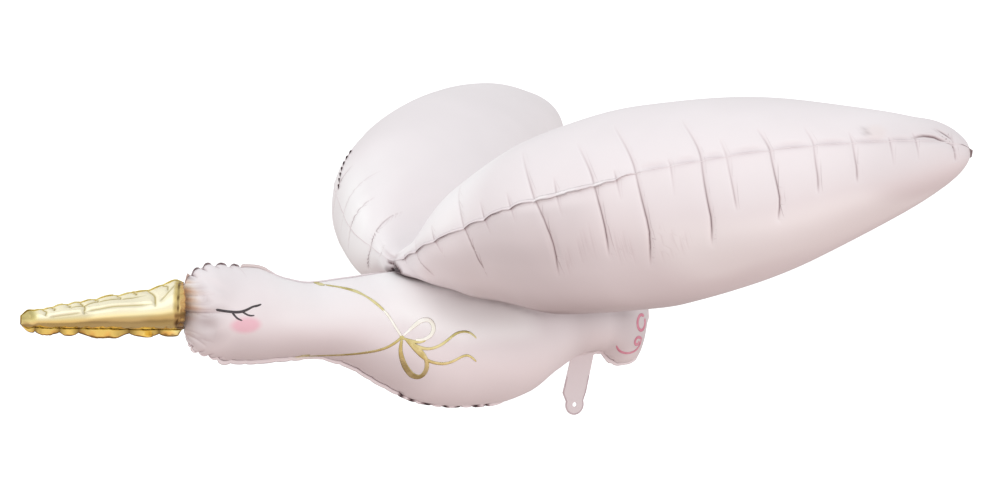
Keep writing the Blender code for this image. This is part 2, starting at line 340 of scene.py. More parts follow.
class Skin:
    """A balloon's skin as rings of points, with what is pressed into it."""

    def __init__(self, points):
        self.base = points
        along = np.gradient(points, axis=0)
        wrapped = np.concatenate([points[:, -1:], points, points[:, :1]], 1)
        around = (wrapped[:, 2:] - wrapped[:, :-2]) / 2
        self.out = unit(np.cross(along, around))
        middle = points.mean(1, keepdims=True)
        if np.sum((points - middle) * self.out) < 0:
            self.out = -self.out
        for end, inner in ((0, 1), (-1, -2)):
            self.out[end] = self.out[inner]
        self.height = np.zeros(points.shape[:2])
        self.groove = np.full(points.shape[:2], 0.02)
        self.grip = np.zeros(points.shape[:2])
        self.marks = {}

    def mark(self, name, values):
        held = self.marks.get(name, np.zeros(self.base.shape[:2]))
        self.marks[name] = np.maximum(held, values)

    def ovals(self, name, rows):
        """Soft oval marks on the side: x, z, half length, half height, strength."""
        x, z = self.base[..., 0], self.base[..., 2]
        for spot_x, spot_z, long, high, strength in rows:
            self.mark(name, strength * bell(x - spot_x, long) * bell(z - spot_z, high))

    def nearest(self, path, reach):
        """Which points lie near a path, how far off and on which side, and how far along it."""
        low, high = path.min(0) - reach, path.max(0) + reach
        near = np.all((self.base > low) & (self.base < high), -1)
        at, out = self.base[near], self.out[near]
        best, side, along = np.full(len(at), 1e9), np.ones(len(at)), np.zeros(len(at))
        for k, (start, stop) in enumerate(zip(path[:-1], path[1:])):
            step = stop - start
            share = np.clip((at - start) @ step / max(step @ step, 1e-12), 0, 1)
            gap = at - start - share[:, None] * step
            away = np.linalg.norm(gap, axis=1)
            closer = away < best
            best = np.where(closer, away, best)
            turn = np.sign(np.sum(np.cross(step, out) * gap, 1))
            side = np.where(closer, np.where(turn == 0, 1, turn), side)
            along = np.where(closer, k + share, along)
        return near, best, side, along / (len(path) - 1)

    def press(self, path, depths, width, grip):
        """A sharp crease along a path: depths are metres at even steps along it."""
        near, away, side, along = self.nearest(path, max(6 * width, 0.012))
        depth = np.interp(along, np.linspace(0, 1, len(depths)), depths)
        self.height[near] -= depth * np.exp(-away / width)
        hold = grip * np.clip(depth / max(max(depths), 1e-9), 0, 1) * (1 - between(away, 0.0045, 0.0065))
        held = self.grip[near]
        stronger = (hold > 0) & (away < np.abs(self.groove[near]))
        groove = self.groove[near]
        groove[stronger] = (side * away)[stronger]
        held[stronger] = hold[stronger]
        self.groove[near], self.grip[near] = groove, held

    def dent(self, path, depth, width):
        """A soft dip along a path, deepest in its middle."""
        near, away, _, along = self.nearest(path, 3 * width)
        self.height[near] -= depth * np.sin(np.pi * np.clip(along, 0, 1)) ** 0.7 * bell(away, width)

    def sway(self, seed, size, length):
        """Slow unevenness of a stretched sheet."""
        chance = np.random.default_rng(seed)
        waves = chance.normal(size=(18, 3))
        waves = unit(waves) * (2 * np.pi / (length * chance.uniform(0.7, 1.6, 18)))[:, None]
        turns = chance.uniform(0, 2 * np.pi, 18)
        self.height += size * np.sin(self.base @ waves.T + turns).sum(-1) / math.sqrt(18)

    def formed(self):
        """The points with all that is pressed into them."""
        return self.base + self.out * self.height[..., None]


def seam_directions(skin, rows, end_way, near_end, near_joint):
    """Which way a lip stands out along the top and the bottom seam. It turns along x at the far
    end (1 is towards the tail) and upright at the joint of body and beak."""
    ways = []
    for row, upright in ((0, 1.0), (rows, -1.0)):
        way = skin.out[:, row] * np.array([1.0, 0.0, 1.0])
        for near, goal in ((near_end, (end_way, 0.0, 0.0)), (near_joint, (0.0, 0.0, upright))):
            way = unit(way * (1 - near[:, None]) + np.array(goal) * near[:, None])
        ways.append(way)
    return ways


def spread(count, density, low=0.0, high=1.0):
    """Values from low to high, closer together where the density is higher."""
    fine = np.linspace(low, high, 8001)
    total = np.concatenate([[0], np.cumsum((density(fine[1:]) + density(fine[:-1])) / 2)])
    return np.interp(np.linspace(0, 1, count), total / total[-1], fine)


def arcs(places, at, size, full):
    """How far a seam stands out between the creases that pull it in, and how far along each
    arc a place is. Arcs shorter than full stand out less."""
    places = np.sort(np.asarray(places, float))
    k = np.clip(np.searchsorted(places, at), 1, len(places) - 1)
    gap = places[k] - places[k - 1]
    run = np.clip((at - places[k - 1]) / gap, 0, 1)
    inside = (at >= places[0]) & (at <= places[-1])
    return inside * size * np.minimum(gap / full, 1) * np.sin(np.pi * run) ** 0.8 * (1.2 - 0.4 * run), run


def ring_angles(rows):
    """Angles round a tube of two sheets, closer together by the two seams."""
    even = np.arange(rows) / rows
    sheet = (even - SEAM_GATHER * np.sin(2 * np.pi * even) / (2 * np.pi)) * np.pi
    return np.concatenate([sheet, sheet + np.pi])


def peaks(places, width, gain):
    """A density that is higher by the places."""
    places = np.asarray(places, float)

    def density(at):
        nearest = np.abs(at[:, None] - places[None, :]).min(1)
        return 1 + gain * np.exp(-((nearest / width) ** 2))

    return density


def placed(name, data):
    """A new object of this mesh or curve, in the scene."""
    made = bpy.data.objects.new(name, data)
    bpy.context.scene.collection.objects.link(made)
    return made


def plain_mesh(source):
    """The object's final shape as a mesh of its own. The object goes."""
    graph = bpy.context.evaluated_depsgraph_get()
    mesh = bpy.data.meshes.new_from_object(source.evaluated_get(graph), depsgraph=graph)
    source.modifiers.clear()
    bpy.data.objects.remove(source)
    return mesh


def volume_of(mesh):
    """Signed volume, which is negative where the faces point inwards."""
    mesh.calc_loop_triangles()
    corners = np.empty(len(mesh.loop_triangles) * 3, np.int32)
    mesh.loop_triangles.foreach_get("vertices", corners)
    points = np.empty(len(mesh.vertices) * 3, np.float32)
    mesh.vertices.foreach_get("co", points)
    a, b, c = points.reshape(-1, 3).astype(float)[corners.reshape(-1, 3)].transpose(1, 0, 2)
    return np.einsum("ij,ij->i", a, np.cross(b, c)).sum() / 6


def facing_out(mesh):
    if volume_of(mesh) < 0:
        mesh.flip_normals()
    return mesh


def skin_object(name, skin, points):
    """A closed tube over the rings, zipped shut at its two flat ends."""
    columns, ring = points.shape[:2]
    index = np.arange(columns * ring).reshape(columns, ring)
    turned = np.roll(index, -1, 1)
    faces = np.stack([index[:-1], turned[:-1], turned[1:], index[1:]], -1).reshape(-1, 4).tolist()
    half = ring // 2
    for end, flip in ((index[0], True), (index[-1], False)):
        for j in range(half):
            corners = [end[j], end[j + 1], end[-(j + 1)], end[-j] if j else end[0]]
            corners = list(dict.fromkeys(int(corner) for corner in corners))
            faces.append(corners[::-1] if flip else corners)
    mesh = bpy.data.meshes.new(name)
    mesh.from_pydata(points.reshape(-1, 3).tolist(), [], faces)
    for title, values in {"groove": skin.groove, "grip": skin.grip, **skin.marks}.items():
        kept = mesh.attributes.new(title, "FLOAT", "POINT")
        kept.data.foreach_set("value", np.asarray(values, np.float32).ravel())
    mesh.shade_smooth()
    mesh.update()
    return placed(name, facing_out(mesh))


def joined(name, items):
    """The items made one mesh under this name."""
    base = items[0]
    with bpy.context.temp_override(active_object=base, object=base, selected_objects=items,
                                   selected_editable_objects=items):
        bpy.ops.object.join()
    base.name = base.data.name = name
    return base


# Node trees

class Wire:
    """An output socket of a node tree, so that sums of wires are built as nodes."""

    def __init__(self, tree, socket=None):
        self.tree, self.socket = tree, socket

    def node(self, kind, settings=None, values=None, output=0):
        made = self.tree.nodes.new(kind)
        for name, value in (settings or {}).items():
            setattr(made, name, value)
        for name, value in (values or {}).items():
            if isinstance(value, Wire):
                self.tree.links.new(value.socket, made.inputs[name])
            else:
                made.inputs[name].default_value = value
        return Wire(self.tree, made.outputs[output]) if len(made.outputs) else made

    def maths(self, operation, first, second):
        return self.node("ShaderNodeMath", {"operation": operation}, {0: first, 1: second})

    def __add__(self, other):
        return self.maths("ADD", self, other)

    __radd__ = __add__

    def __sub__(self, other):
        return self.maths("SUBTRACT", self, other)

    def __rsub__(self, other):
        return self.maths("SUBTRACT", other, self)

    def __mul__(self, other):
        return self.maths("MULTIPLY", self, other)

    __rmul__ = __mul__

    def __truediv__(self, other):
        return self.maths("DIVIDE", self, other)

    def __rtruediv__(self, other):
        return self.maths("DIVIDE", other, self)

    def __pow__(self, other):
        return self.maths("POWER", self, other)

    def __neg__(self):
        return self * -1.0

    def call(self, operation, other=0.0):
        return self.maths(operation, self, other)

    def rise(self, low, high):
        """0 up to low, 1 from high on."""
        return self.node("ShaderNodeMapRange", {"interpolation_type": "SMOOTHSTEP"},
                         {"Value": self, "From Min": low, "From Max": high})

    def plus(self, other):
        """The sum of two vectors."""
        return self.node("ShaderNodeVectorMath", {"operation": "ADD"}, {0: self, 1: other})

    def scaled(self, by):
        return self.node("ShaderNodeVectorMath", {"operation": "SCALE"}, {0: self, "Scale": by})

    def tones(self, factor, first, second):
        """The first colour with the second laid over it by the factor."""
        return self.node("ShaderNodeMix", {"data_type": "RGBA"}, {0: factor, 6: first, 7: second}, 2)


def path_tree(name, laid_on_foil):
    """A thin closed strip along a path of points: a weld lip that ruffles, or a printed line
    that is laid on the foil. Each point carries its outward and lift directions and its width."""
    tree = bpy.data.node_groups.new(name, "GeometryNodeTree")
    face = tree.interface
    face.new_socket("Path", in_out="INPUT", socket_type="NodeSocketGeometry")
    for title, kind, value in (("Width", "Float", 0.005), ("Thickness", "Float", 0.0006),
                               ("Ruffle Height", "Float", 0.0), ("Ruffle Length", "Float", 0.02),
                               ("Seed", "Float", 1.0), ("Sides", "Int", 8),
                               ("Foil", "Object", None), ("Material", "Material", None)):
        socket = face.new_socket(title, in_out="INPUT", socket_type="NodeSocket" + kind)
        if value is not None:
            socket.default_value = value
    face.new_socket("Strip", in_out="OUTPUT", socket_type="NodeSocketGeometry")
    root = Wire(tree)
    given = tree.nodes.new("NodeGroupInput")
    inputs = {socket.name: Wire(tree, socket) for socket in given.outputs if socket.name}
    path, sides = inputs["Path"], inputs["Sides"]
    count = root.node("GeometryNodeAttributeDomainSize", {"component": "MESH"}, {"Geometry": path})
    grid = root.node("GeometryNodeMeshGrid", None,
                     {"Size X": 1.0, "Size Y": 1.0, "Vertices X": count, "Vertices Y": sides + 1.0})
    index = root.node("GeometryNodeInputIndex")
    station = (index / (sides + 1.0)).call("FLOOR")
    turn = index.call("MODULO", sides + 1.0) / sides

    def taken(title, kind="FLOAT"):
        if title == "position":
            value = root.node("GeometryNodeInputPosition")
        else:
            value = root.node("GeometryNodeInputNamedAttribute", {"data_type": kind}, {"Name": title})
        return root.node("GeometryNodeSampleIndex", {"data_type": kind, "domain": "POINT"},
                         {"Geometry": path, "Value": value, "Index": station})

    place = taken("position", "FLOAT_VECTOR")
    outward = taken("outward", "FLOAT_VECTOR")
    lift = taken("lift", "FLOAT_VECTOR")
    wide = taken("wide") * inputs["Width"]
    wave = (turn * (2 * math.pi)).call("SINE") * (inputs["Thickness"] * 0.5)
    if laid_on_foil:
        run = (turn * (2 * math.pi)).call("COSINE") * 0.5
        flat = place.plus(outward.scaled(run * wide))
        hit = tree.nodes.new("GeometryNodeRaycast")
        info = root.node("GeometryNodeObjectInfo", {"transform_space": "RELATIVE"},
                         {"Object": inputs["Foil"]}, "Geometry")
        tree.links.new(info.socket, hit.inputs["Target Geometry"])
        tree.links.new(flat.plus(lift.scaled(0.3)).socket, hit.inputs["Source Position"])
        tree.links.new(lift.scaled(-1.0).socket, hit.inputs["Ray Direction"])
        hit.inputs["Ray Length"].default_value = 0.6
        landed = Wire(tree, hit.outputs["Hit Position"])
        facing = Wire(tree, hit.outputs["Hit Normal"])
        raised = landed.plus(facing.scaled(wave + inputs["Thickness"] * 0.8))
        final = root.node("GeometryNodeSwitch", {"input_type": "VECTOR"},
                          {"Switch": Wire(tree, hit.outputs["Is Hit"]), "False": flat, "True": raised})
        weld = run * 2.0
    else:
        run = 1.0 - (turn * 2.0 - 1.0).call("ABSOLUTE")
        noise = root.node("ShaderNodeTexNoise", {"noise_dimensions": "4D"},
                          {"Vector": place, "W": inputs["Seed"], "Scale": 1.0 / inputs["Ruffle Length"],
                           "Detail": 1.0})
        bend = (noise - 0.5) * inputs["Ruffle Height"] * taken("wavy") * run * run
        final = place.plus(outward.scaled(run * wide)).plus(lift.scaled(wave + bend))
        weld = run
    shape = root.node("GeometryNodeSetPosition", None, {"Geometry": grid, "Position": final})
    # along the strip: the weld share, painted shade, a warm tint that is mostly painted reflection, the
    # rim's painted shadow and glint, and painted light
    for title in ("weld", "dusk", "warm", "rim", "pale"):
        value = weld if title == "weld" else taken(title)
        shape = root.node("GeometryNodeStoreNamedAttribute", {"data_type": "FLOAT", "domain": "POINT"},
                          {"Geometry": shape, "Name": title, "Value": value})
    shape = root.node("GeometryNodeMergeByDistance", None, {"Geometry": shape, "Distance": 2e-6})
    shape = root.node("GeometryNodeSetShadeSmooth", None, {"Geometry": shape})
    shape = root.node("GeometryNodeRealizeInstances", None, {"Geometry": shape})
    shape = root.node("GeometryNodeSetMaterial", None, {"Geometry": shape, "Material": inputs["Material"]})
    root.node("NodeGroupOutput", None, {"Strip": shape})
    return tree


def strip(name, tree, points, outward, lift, wide, material, marks=None, **sizes):
    """One strip from the tree, as a plain mesh object with its faces outward."""
    count = len(points)
    marks = marks or {}
    path = bpy.data.meshes.new(name + "_path")
    path.from_pydata(points.tolist(), [(k, k + 1) for k in range(count - 1)], [])
    for title, values in (("outward", outward), ("lift", lift)):
        kept = path.attributes.new(title, "FLOAT_VECTOR", "POINT")
        kept.data.foreach_set("vector", np.asarray(values, np.float32).ravel())
    given = {"wide": wide, "wavy": 1.0, "dusk": 0.0, "warm": 0.0, "rim": 0.0, "pale": 0.0, **marks}
    for title, values in given.items():
        kept = path.attributes.new(title, "FLOAT", "POINT")
        kept.data.foreach_set("value", (np.zeros(count) + values).astype(np.float32))
    source = placed(name + "_path", path)
    modifier = source.modifiers.new("strip", "NODES")
    modifier.node_group = tree
    for socket in tree.interface.items_tree:
        if socket.in_out == "INPUT" and socket.name in sizes:
            modifier[socket.identifier] = sizes[socket.name]
        elif socket.in_out == "INPUT" and socket.name == "Material":
            modifier[socket.identifier] = material
    return placed(name, facing_out(plain_mesh(source)))


# Finishes

def finish_named(name):
    material = bpy.data.materials.new(name)
    material.use_nodes = True
    material.node_tree.nodes.clear()
    return material, Wire(material.node_tree)


def finished(material, root, values):
    """The material with one principled surface of these values."""
    skin = root.node("ShaderNodeBsdfPrincipled", None, values)
    root.node("ShaderNodeOutputMaterial", None, {"Surface": skin})
    return material


def attribute(root, title):
    return root.node("ShaderNodeAttribute", {"attribute_name": title}, output="Fac")


def noise(root, scale, detail=2.0):
    where = root.node("ShaderNodeTexCoord", output="Object")
    return root.node("ShaderNodeTexNoise", None, {"Vector": where, "Scale": scale, "Detail": detail})


def bumped(root, height, strength):
    return root.node("ShaderNodeBump", None, {"Strength": strength, "Distance": 1.0, "Height": height})


def crease_line(root, width, power):
    """1 in the bottom of a crease where it grips the foil, falling off over the width."""
    away = attribute(root, "groove").call("ABSOLUTE")
    return (-((away / width) ** power)).call("EXPONENT") * attribute(root, "grip")


def pink_foil():
    material, root = finish_named("satin_pink_foil")
    groove, grip, weld, dusk = [attribute(root, title) for title in ("groove", "grip", "weld", "dusk")]
    line = crease_line(root, 0.0012, 1.4)
    # a painted highlight on one flank of each crease
    painted_crease_highlight = (-(((groove - 0.0026) / 0.001) ** 2.0)).call("EXPONENT") * grip
    slow, fine = noise(root, 9.0), noise(root, 60.0, 3.0)
    base = root.tones(slow.rise(0.3, 0.7), (0.835, 0.775, 0.79, 1), (0.86, 0.8, 0.815, 1))
    # Laid over the base in turn; the first is painted light, where the pink's real shading comes out too
    # dark.
    for tone, factor in (((0.985, 0.965, 0.97), attribute(root, "pale")),
                         ((0.97, 0.945, 0.95), painted_crease_highlight * 0.55),
                         # painted shade round each crease and, darker, in its bottom
                         ((0.7, 0.5, 0.53), crease_line(root, 0.0026, 1.3) * 0.28),
                         ((0.2, 0.13, 0.14), line ** 1.25 * grip * 0.95),
                         # painted shade in the dips between the creases
                         ((0.6, 0.48, 0.51), attribute(root, "painted_hollow_shade")),
                         ((0.83, 0.735, 0.75), weld.rise(0.0, 0.2) * 0.5),
                         ((0.87, 0.45, 0.55), attribute(root, "blush")),
                         # a warm tint, mostly a painted reflection of the gold beak
                         ((0.75, 0.42, 0.24), attribute(root, "warm")),
                         # painted shade, near black where it is strongest
                         ((0.155, 0.08, 0.085), dusk),
                         ((0.035, 0.012, 0.016), dusk.rise(0.885, 0.965)),
                         # a painted shadow line under the edge of the lip
                         ((0.16, 0.1, 0.11), attribute(root, "rim") * weld.rise(0.55, 0.85))):
        base = root.tones(factor, base, (*tone, 1))
    height = slow * 0.001 + fine * 0.00004 - line * 0.0008
    return finished(material, root, {
        "Base Color": base, "Metallic": 0.15, "Roughness": 0.4 + slow * 0.06 + fine * 0.03,
        "Normal": bumped(root, height, 0.6), "Coat Weight": 0.12, "Coat Roughness": 0.25,
        "Sheen Weight": 0.05})


def gold_foil():
    material, root = finish_named("bright_gold_foil")
    line = crease_line(root, 0.0011, 1.3)
    slow, fine = noise(root, 26.0), noise(root, 240.0)
    # a painted orange glint on the outer part of the lip
    edge = attribute(root, "weld").rise(0.05, 0.3) * attribute(root, "rim")
    base = root.tones(slow.rise(0.35, 0.65), (0.91, 0.79, 0.32, 1), (0.935, 0.825, 0.37, 1))
    # Laid over the base in turn; the first is a painted highlight over the upper part of the beak.
    for tone, factor in (((0.96, 0.885, 0.66), attribute(root, "pale")),
                         # painted shade in the creases
                         ((0.46, 0.36, 0.1), line * 0.92),
                         ((0.8, 0.53, 0.13), edge),
                         # a warm tint that is mostly painted reflection, then painted shade
                         ((0.8, 0.46, 0.16), attribute(root, "warm")),
                         ((0.16, 0.09, 0.03), attribute(root, "dusk"))):
        base = root.tones(factor, base, (*tone, 1))
    height = slow * 0.0012 + fine * 0.00003 - line * 0.0005
    return finished(material, root, {
        "Base Color": base, "Metallic": 1.0, "Roughness": 0.19 + slow * 0.05 + fine * 0.03,
        "Normal": bumped(root, height, 0.7)})


def ink(name, dark, light, metallic, roughness, scale):
    """A printed line in two tones of the ink."""
    material, root = finish_named(name)
    slow = noise(root, scale, 3.0)
    return finished(material, root, {
        "Base Color": root.tones(slow.rise(0.35, 0.65), (*dark, 1), (*light, 1)), "Metallic": metallic,
        "Roughness": slow * 0.1 + roughness, "Normal": bumped(root, noise(root, scale * 8) * 0.00005, 0.4)})


def studio_floor():
    material, root = finish_named("pale_studio_floor")
    return finished(material, root, {
        "Base Color": root.tones(noise(root, 0.7), (0.93, 0.93, 0.93, 1), (0.95, 0.95, 0.95, 1)),
        "Roughness": 0.9, "Specular IOR Level": 0.1, "Emission Color": (1.0, 1.0, 1.0, 1.0),
        "Emission Strength": 0.35})


PINK = pink_foil()
GOLD = gold_foil()
GOLD_INK = ink("gold_print", (0.56, 0.48, 0.19), (0.78, 0.7, 0.36), 0.9, 0.22, 55.0)
# a near-white ink that paints the glare on the gold print
GLARE_GOLD_INK = ink("gold_print_painted_glare", (0.93, 0.9, 0.8), (0.99, 0.97, 0.92), 0.5, 0.15, 60.0)
SEAL_INK = ink("tab_seal", (0.55, 0.44, 0.47), (0.62, 0.5, 0.53), 0.1, 0.4, 90.0)
DARK_INK = ink("dark_print", (0.055, 0.045, 0.05), (0.085, 0.072, 0.08), 0.0, 0.45, 90.0)
ROSE_INK = ink("rose_print", (0.68, 0.24, 0.33), (0.76, 0.33, 0.42), 0.1, 0.42, 90.0)
LIP_TREE = path_tree("weld_lip", False)
PRINT_TREE = path_tree("printed_line", True)


def weld_lip(name, seam, outward, lift, wide, material, ruffle, marks,
             width=LIP_WIDTH, thickness=LIP_THICKNESS):
    """A lip along a seam: its ruffle is given by height, length and seed."""
    height, length, seed = ruffle
    return strip(name, LIP_TREE, seam, outward, lift, wide, material, marks, Width=width,
                 Thickness=thickness, **{"Ruffle Height": height, "Ruffle Length": length, "Seed": seed})


# The wings

CREASE_WIDTH = 0.003
MM = 0.001
STREAKS = (  # fine lines beside the long creases: share, start and end turn on the lower sheet
    (0.395, 0.17, 0.27), (0.403, 0.15, 0.26), (0.411, 0.14, 0.25), (0.42, 0.13, 0.27),
    (0.456, 0.16, 0.29), (0.463, 0.19, 0.28), (0.47, 0.17, 0.27), (0.477, 0.19, 0.29),
    (0.524, 0.19, 0.31), (0.531, 0.16, 0.27), (0.539, 0.2, 0.3), (0.548, 0.18, 0.28),
    (0.557, 0.21, 0.3), (0.567, 0.2, 0.28), (0.366, 0.21, 0.3), (0.374, 0.19, 0.28),
)
TIP_FOLDS = (  # folds by the left wing's tip: points (share, turn) and depth in mm
    (((0.93, 0.03), (0.945, 0.052), (0.958, 0.05), (0.97, 0.02), (0.982, -0.03)), 2.4),
    (((0.962, 0.15), (0.972, 0.11), (0.981, 0.06)), 1.2),
    (((0.981, 0.0), (0.983, -0.14)), 1.6),
)
TIP_SHADES = (  # painted shade lines in those folds: points (share, turn) and strength
    (((0.93, 0.034), (0.944, 0.054), (0.957, 0.052), (0.97, 0.018)), 0.62),
    (((0.955, 0.15), (0.968, 0.095)), 0.25),
)
WAIST_SHADES = (  # painted shade in the notch where the waist meets the back: x, y, z, strength, radius
    (-0.2858, 0.0095, 0.212, 0.7, 0.0026), (-0.2835, 0.0045, 0.2122, 0.95, 0.0032),
    (-0.282, 0.001, 0.2114, 0.97, 0.0032), (-0.286, -0.0113, 0.2111, 0.97, 0.0034),
    (-0.2867, -0.0158, 0.2088, 0.97, 0.0034), (-0.2867, -0.0188, 0.2063, 0.97, 0.0038),
    (-0.2862, -0.0208, 0.2037, 0.97, 0.0054), (-0.2862, -0.0147, 0.203, 0.97, 0.0052),
    (-0.282, 0.003, 0.2022, 0.95, 0.0046), (-0.2856, -0.0245, 0.2016, 0.95, 0.005),
    (-0.2862, -0.0112, 0.2078, 0.9, 0.0034), (-0.2852, -0.0085, 0.2038, 0.97, 0.0042),
)


def in_shares(rows):
    """Rows of a crease table, with shares and turns in place of thousandths."""
    return [(row[0] / 1000, *[(share / 1000, turn / 1000) for share, turn in row[1:4]], row[4])
            for row in rows]


def press_crease(skin, path, depth, fade):
    skin.press(path, depth * MM * fade, CREASE_WIDTH, min(1.0, 0.35 + depth / 4))


def front_crease(skin, side, row):
    """Presses one crease that crosses the front seam."""
    seam, upper, lower, low_end, depth = row
    turns = np.concatenate([np.linspace(upper[1], 0, 8), -np.linspace(0, low_end[1], 9)[1:]])
    shares = smooth_curve((-low_end[1], -lower[1], 0, upper[1]),
                          (low_end[0], lower[0], seam, upper[0]))(turns)
    run = np.clip(-turns / low_end[1], 0, 1)
    below = 0.8 * (1 - run) ** 0.6
    if low_end[1] > 0.17:
        below = (0.7 + 0.45 * np.sin(np.pi / 2 * np.minimum(run / 0.7, 1))) * (1 - between(run, 0.8, 1.0))
    gain, power = (1.15, 0.35) if side > 0 else (0.85, 0.6)
    above = gain * np.clip(1 - turns / upper[1], 0, 1) ** power
    press_crease(skin, wing_skin(side * shares, turns * np.pi), depth, np.where(turns > 0, above, below))


def rear_creases(seed, count):
    """A seeded row of creases over a rear seam, in the same form as the tables."""
    chance = np.random.default_rng(seed)
    rows = []
    for k in range(count):
        share = 0.05 + 0.93 * (k + chance.uniform(0.25, 0.75)) / count
        long = k % 2 == 0
        reach = chance.uniform(0.18, 0.28) if long else chance.uniform(0.05, 0.12)
        lean = chance.uniform(-0.02, 0.005)
        rows.append((share, (share + lean, 1 - reach), (share + lean * 0.4, 1 - reach * 0.5),
                     (share + lean, 1 - reach * chance.uniform(0.8, 1.1)),
                     chance.uniform(2.0, 3.0) if long else chance.uniform(0.9, 1.6)))
    return rows


def rear_crease(skin, side, row):
    """Presses one crease that crosses the rear seam."""
    seam, upper, lower, low_end, depth = row
    turns = np.concatenate([np.linspace(upper[1], 1, 8), 2 - np.linspace(1, low_end[1], 9)[1:]])
    shares = smooth_curve((upper[1], 1.0, 2 - lower[1], 2 - low_end[1]),
                          (upper[0], seam, lower[0], low_end[0]))(turns)
    fade = np.where(turns < 1, (turns - upper[1]) / (1 - upper[1]),
                    (2 - low_end[1] - turns) / (1 - low_end[1]))
    press_crease(skin, wing_skin(side * np.clip(shares, 0, 0.995), turns * np.pi), depth,
                 np.clip(fade, 0, 1) ** 0.6)


def body_section(points):
    """The body's middle height, half height and half thickness at the points."""
    _, back, belly, half = body_place(np.clip(points[..., 0] / BODY_LENGTH + HOLE_SHARE, 0.001, 0.999))
    return (back + belly) / 2, (back - belly) / 2, half


def clear_of_body(points):
    """Wing points that would lie inside the body's back are laid on it."""
    middle, reach, half = body_section(points)
    inside = np.hypot(points[..., 1] / (half + WAIST_GAP), (points[..., 2] - middle) / (reach + WAIST_GAP))
    grow = np.where(inside < 1, 1 / np.maximum(inside, 0.2), 1)
    points[..., 1] = points[..., 1] * grow
    points[..., 2] = middle + (points[..., 2] - middle) * grow
    return points


def settled_on_body(points, share):
    """The lower sheets by the roots are drawn down on the body's back, which they rest on."""
    middle, reach, half = body_section(points)
    y, z = points[..., 1], points[..., 2] - middle
    away = np.hypot(y, z)
    skin = away / np.maximum(np.hypot(y / half, z / reach), 1e-6)
    gap = away - skin
    near = (1 - between(share, 0.05, 0.15)) * (z > 0)
    drawn = np.where(gap > 0, gap * between(gap, 0.004, 0.026) + 0.0008, gap)
    left = gap + (drawn - gap) * near
    scale = (skin + left) / away
    points[..., 1], points[..., 2] = y * scale, middle + z * scale
    return points, (1 - between(left, 0.002, 0.013)) * (1 - between(share, 0.3, 0.4)) * (z > 0)


def press_wings(skin, front, rear):
    """All creases, folds and fine lines of the wings."""
    for rows_of, crease in ((front, front_crease), (rear, rear_crease)):
        for side, rows in rows_of:
            for row in rows:
                crease(skin, side, row)
    for side, rows in front:
        for first, second in zip(rows[:-1], rows[1:]):
            if first[0] > 0.48:
                ends = np.linspace(first[0] + 0.006, second[0] - 0.006, 6)
                skin.dent(wing_skin(side * ends, 0 * ends + 0.012 * np.pi), 0.0026, 0.0046)
    for place, start, stop in STREAKS:
        turns = np.linspace(start, stop, 5)
        for side in (-1, 1):
            path = wing_skin(side * (place - 0.05 * (turns - start)), -turns * np.pi)
            skin.press(path, np.array([0, 0.3, 0.45, 0.3, 0]) * MM, 0.0011, 0.34)
    for points, depth in TIP_FOLDS:
        shares, turns = evenly(points, 9)
        fade = np.sin(np.pi * np.linspace(0.08, 0.95, 9)) ** 0.5
        skin.press(wing_skin(-shares, turns * np.pi), depth * MM * fade, 0.0026, 1.0)
    for turn, reach in ((0.03, 0.06), (0.055, 0.075), (0.085, 0.09), (0.12, 0.085)):
        run = np.linspace(0.004, reach, 7)
        for side in (-1, 1):
            path = wing_skin(side * run, (turn + run * 0.5) * np.pi)
            skin.press(path, np.linspace(1.5, 0.1, 7) * MM, 0.0016, 0.35)


def shade_wings(skin, points, span, grid_angle):
    """Painted shade, painted light and a warm tint that is mostly painted reflection. The left wing,
    towards -y, is the one in front in the photograph.
    """
    y, z = skin.base[..., 1], skin.base[..., 2]
    for *spot, strength, radius in WAIST_SHADES:
        skin.mark("dusk", np.minimum(1, 1.45 * strength * bell(distance(points, spot), radius)))
    # painted shade on the lower sheets where they face down towards the body and rest on it
    facing, ahead, far = -skin.out[..., 2], -skin.out[..., 0], -y
    near = np.interp(far, (0.04, 0.13, 0.2, 0.27, 0.31, 0.34, 0.38), (0, 0.06, 0.1, 0.15, 0.1, 0.07, 0))
    under = np.interp(far, (0.03, 0.08, 0.13, 0.19, 0.24, 0.29, 0.33, 0.36, 0.42),
                      (0, 0.18, 0.27, 0.32, 0.28, 0.17, 0.12, 0.08, 0))
    skin.mark("dusk", near * between(facing, 0.3, 0.5) + under * between(facing, 0.66, 0.95)
              + 0.11 * between(far, 0.5, 0.572)
              + 0.11 * window(far, 0.16, 0.22, 0.33, 0.37) * window(facing, -0.02, 0.1, 0.35, 0.55)
              + 0.45 * between(facing, 0.88, 0.98) * window(far, 0.05, 0.08, 0.2, 0.27))
    # painted light where the wings' real shading comes out too dark
    skin.mark("pale", 0.6 * window(far, 0.37, 0.42, 0.535, 0.555) * window(facing, 0.1, 0.45, 0.75, 0.88)
              + window(y, 0.01, 0.04, 0.15, 0.24) * between(ahead, 0.25, 0.95)
              * (1 - 0.5 * between(z, 0.205, 0.245))
              + 0.6 * between(ahead, 0.72, 0.95) * window(y, 0.06, 0.1, 0.26, 0.36)
              + 0.7 * window(far, 0.0, 0.03, 0.14, 0.22) * between(-facing, 0.0, 0.3))
    # painted shade in the crease under the waist
    low = 2 - grid_angle / np.pi
    skin.mark("dusk", 0.92 * bell(span[:, None] + 0.004, 0.0085) * window(low, 0, 0.02, 0.3, 0.5))
    weights = np.sin(np.pi * (0.1 + 0.85 * np.linspace(0, 1, 24)))
    for fold, strength in TIP_SHADES:
        shares, turns = evenly(fold, 24)
        for spot, weight in zip(wing_skin(-shares, turns * np.pi), weights):
            skin.mark("dusk", strength * weight * bell(distance(skin.base, spot), 0.0022))
    # painted shade in the valve's dimple near the left tip, with a faint warm tint round it
    valve = wing_skin(np.array([-0.86, -0.8625, -0.877]), np.array([0.09, 0.062, 0.072]) * np.pi)
    for spot, strength in zip(valve, (0.26, 0.34)):
        skin.mark("dusk", strength * bell(distance(skin.base, spot), 0.005))
    skin.mark("warm", 0.075 * (1 - between(distance(skin.base, valve[2]), 0.006, 0.018)))


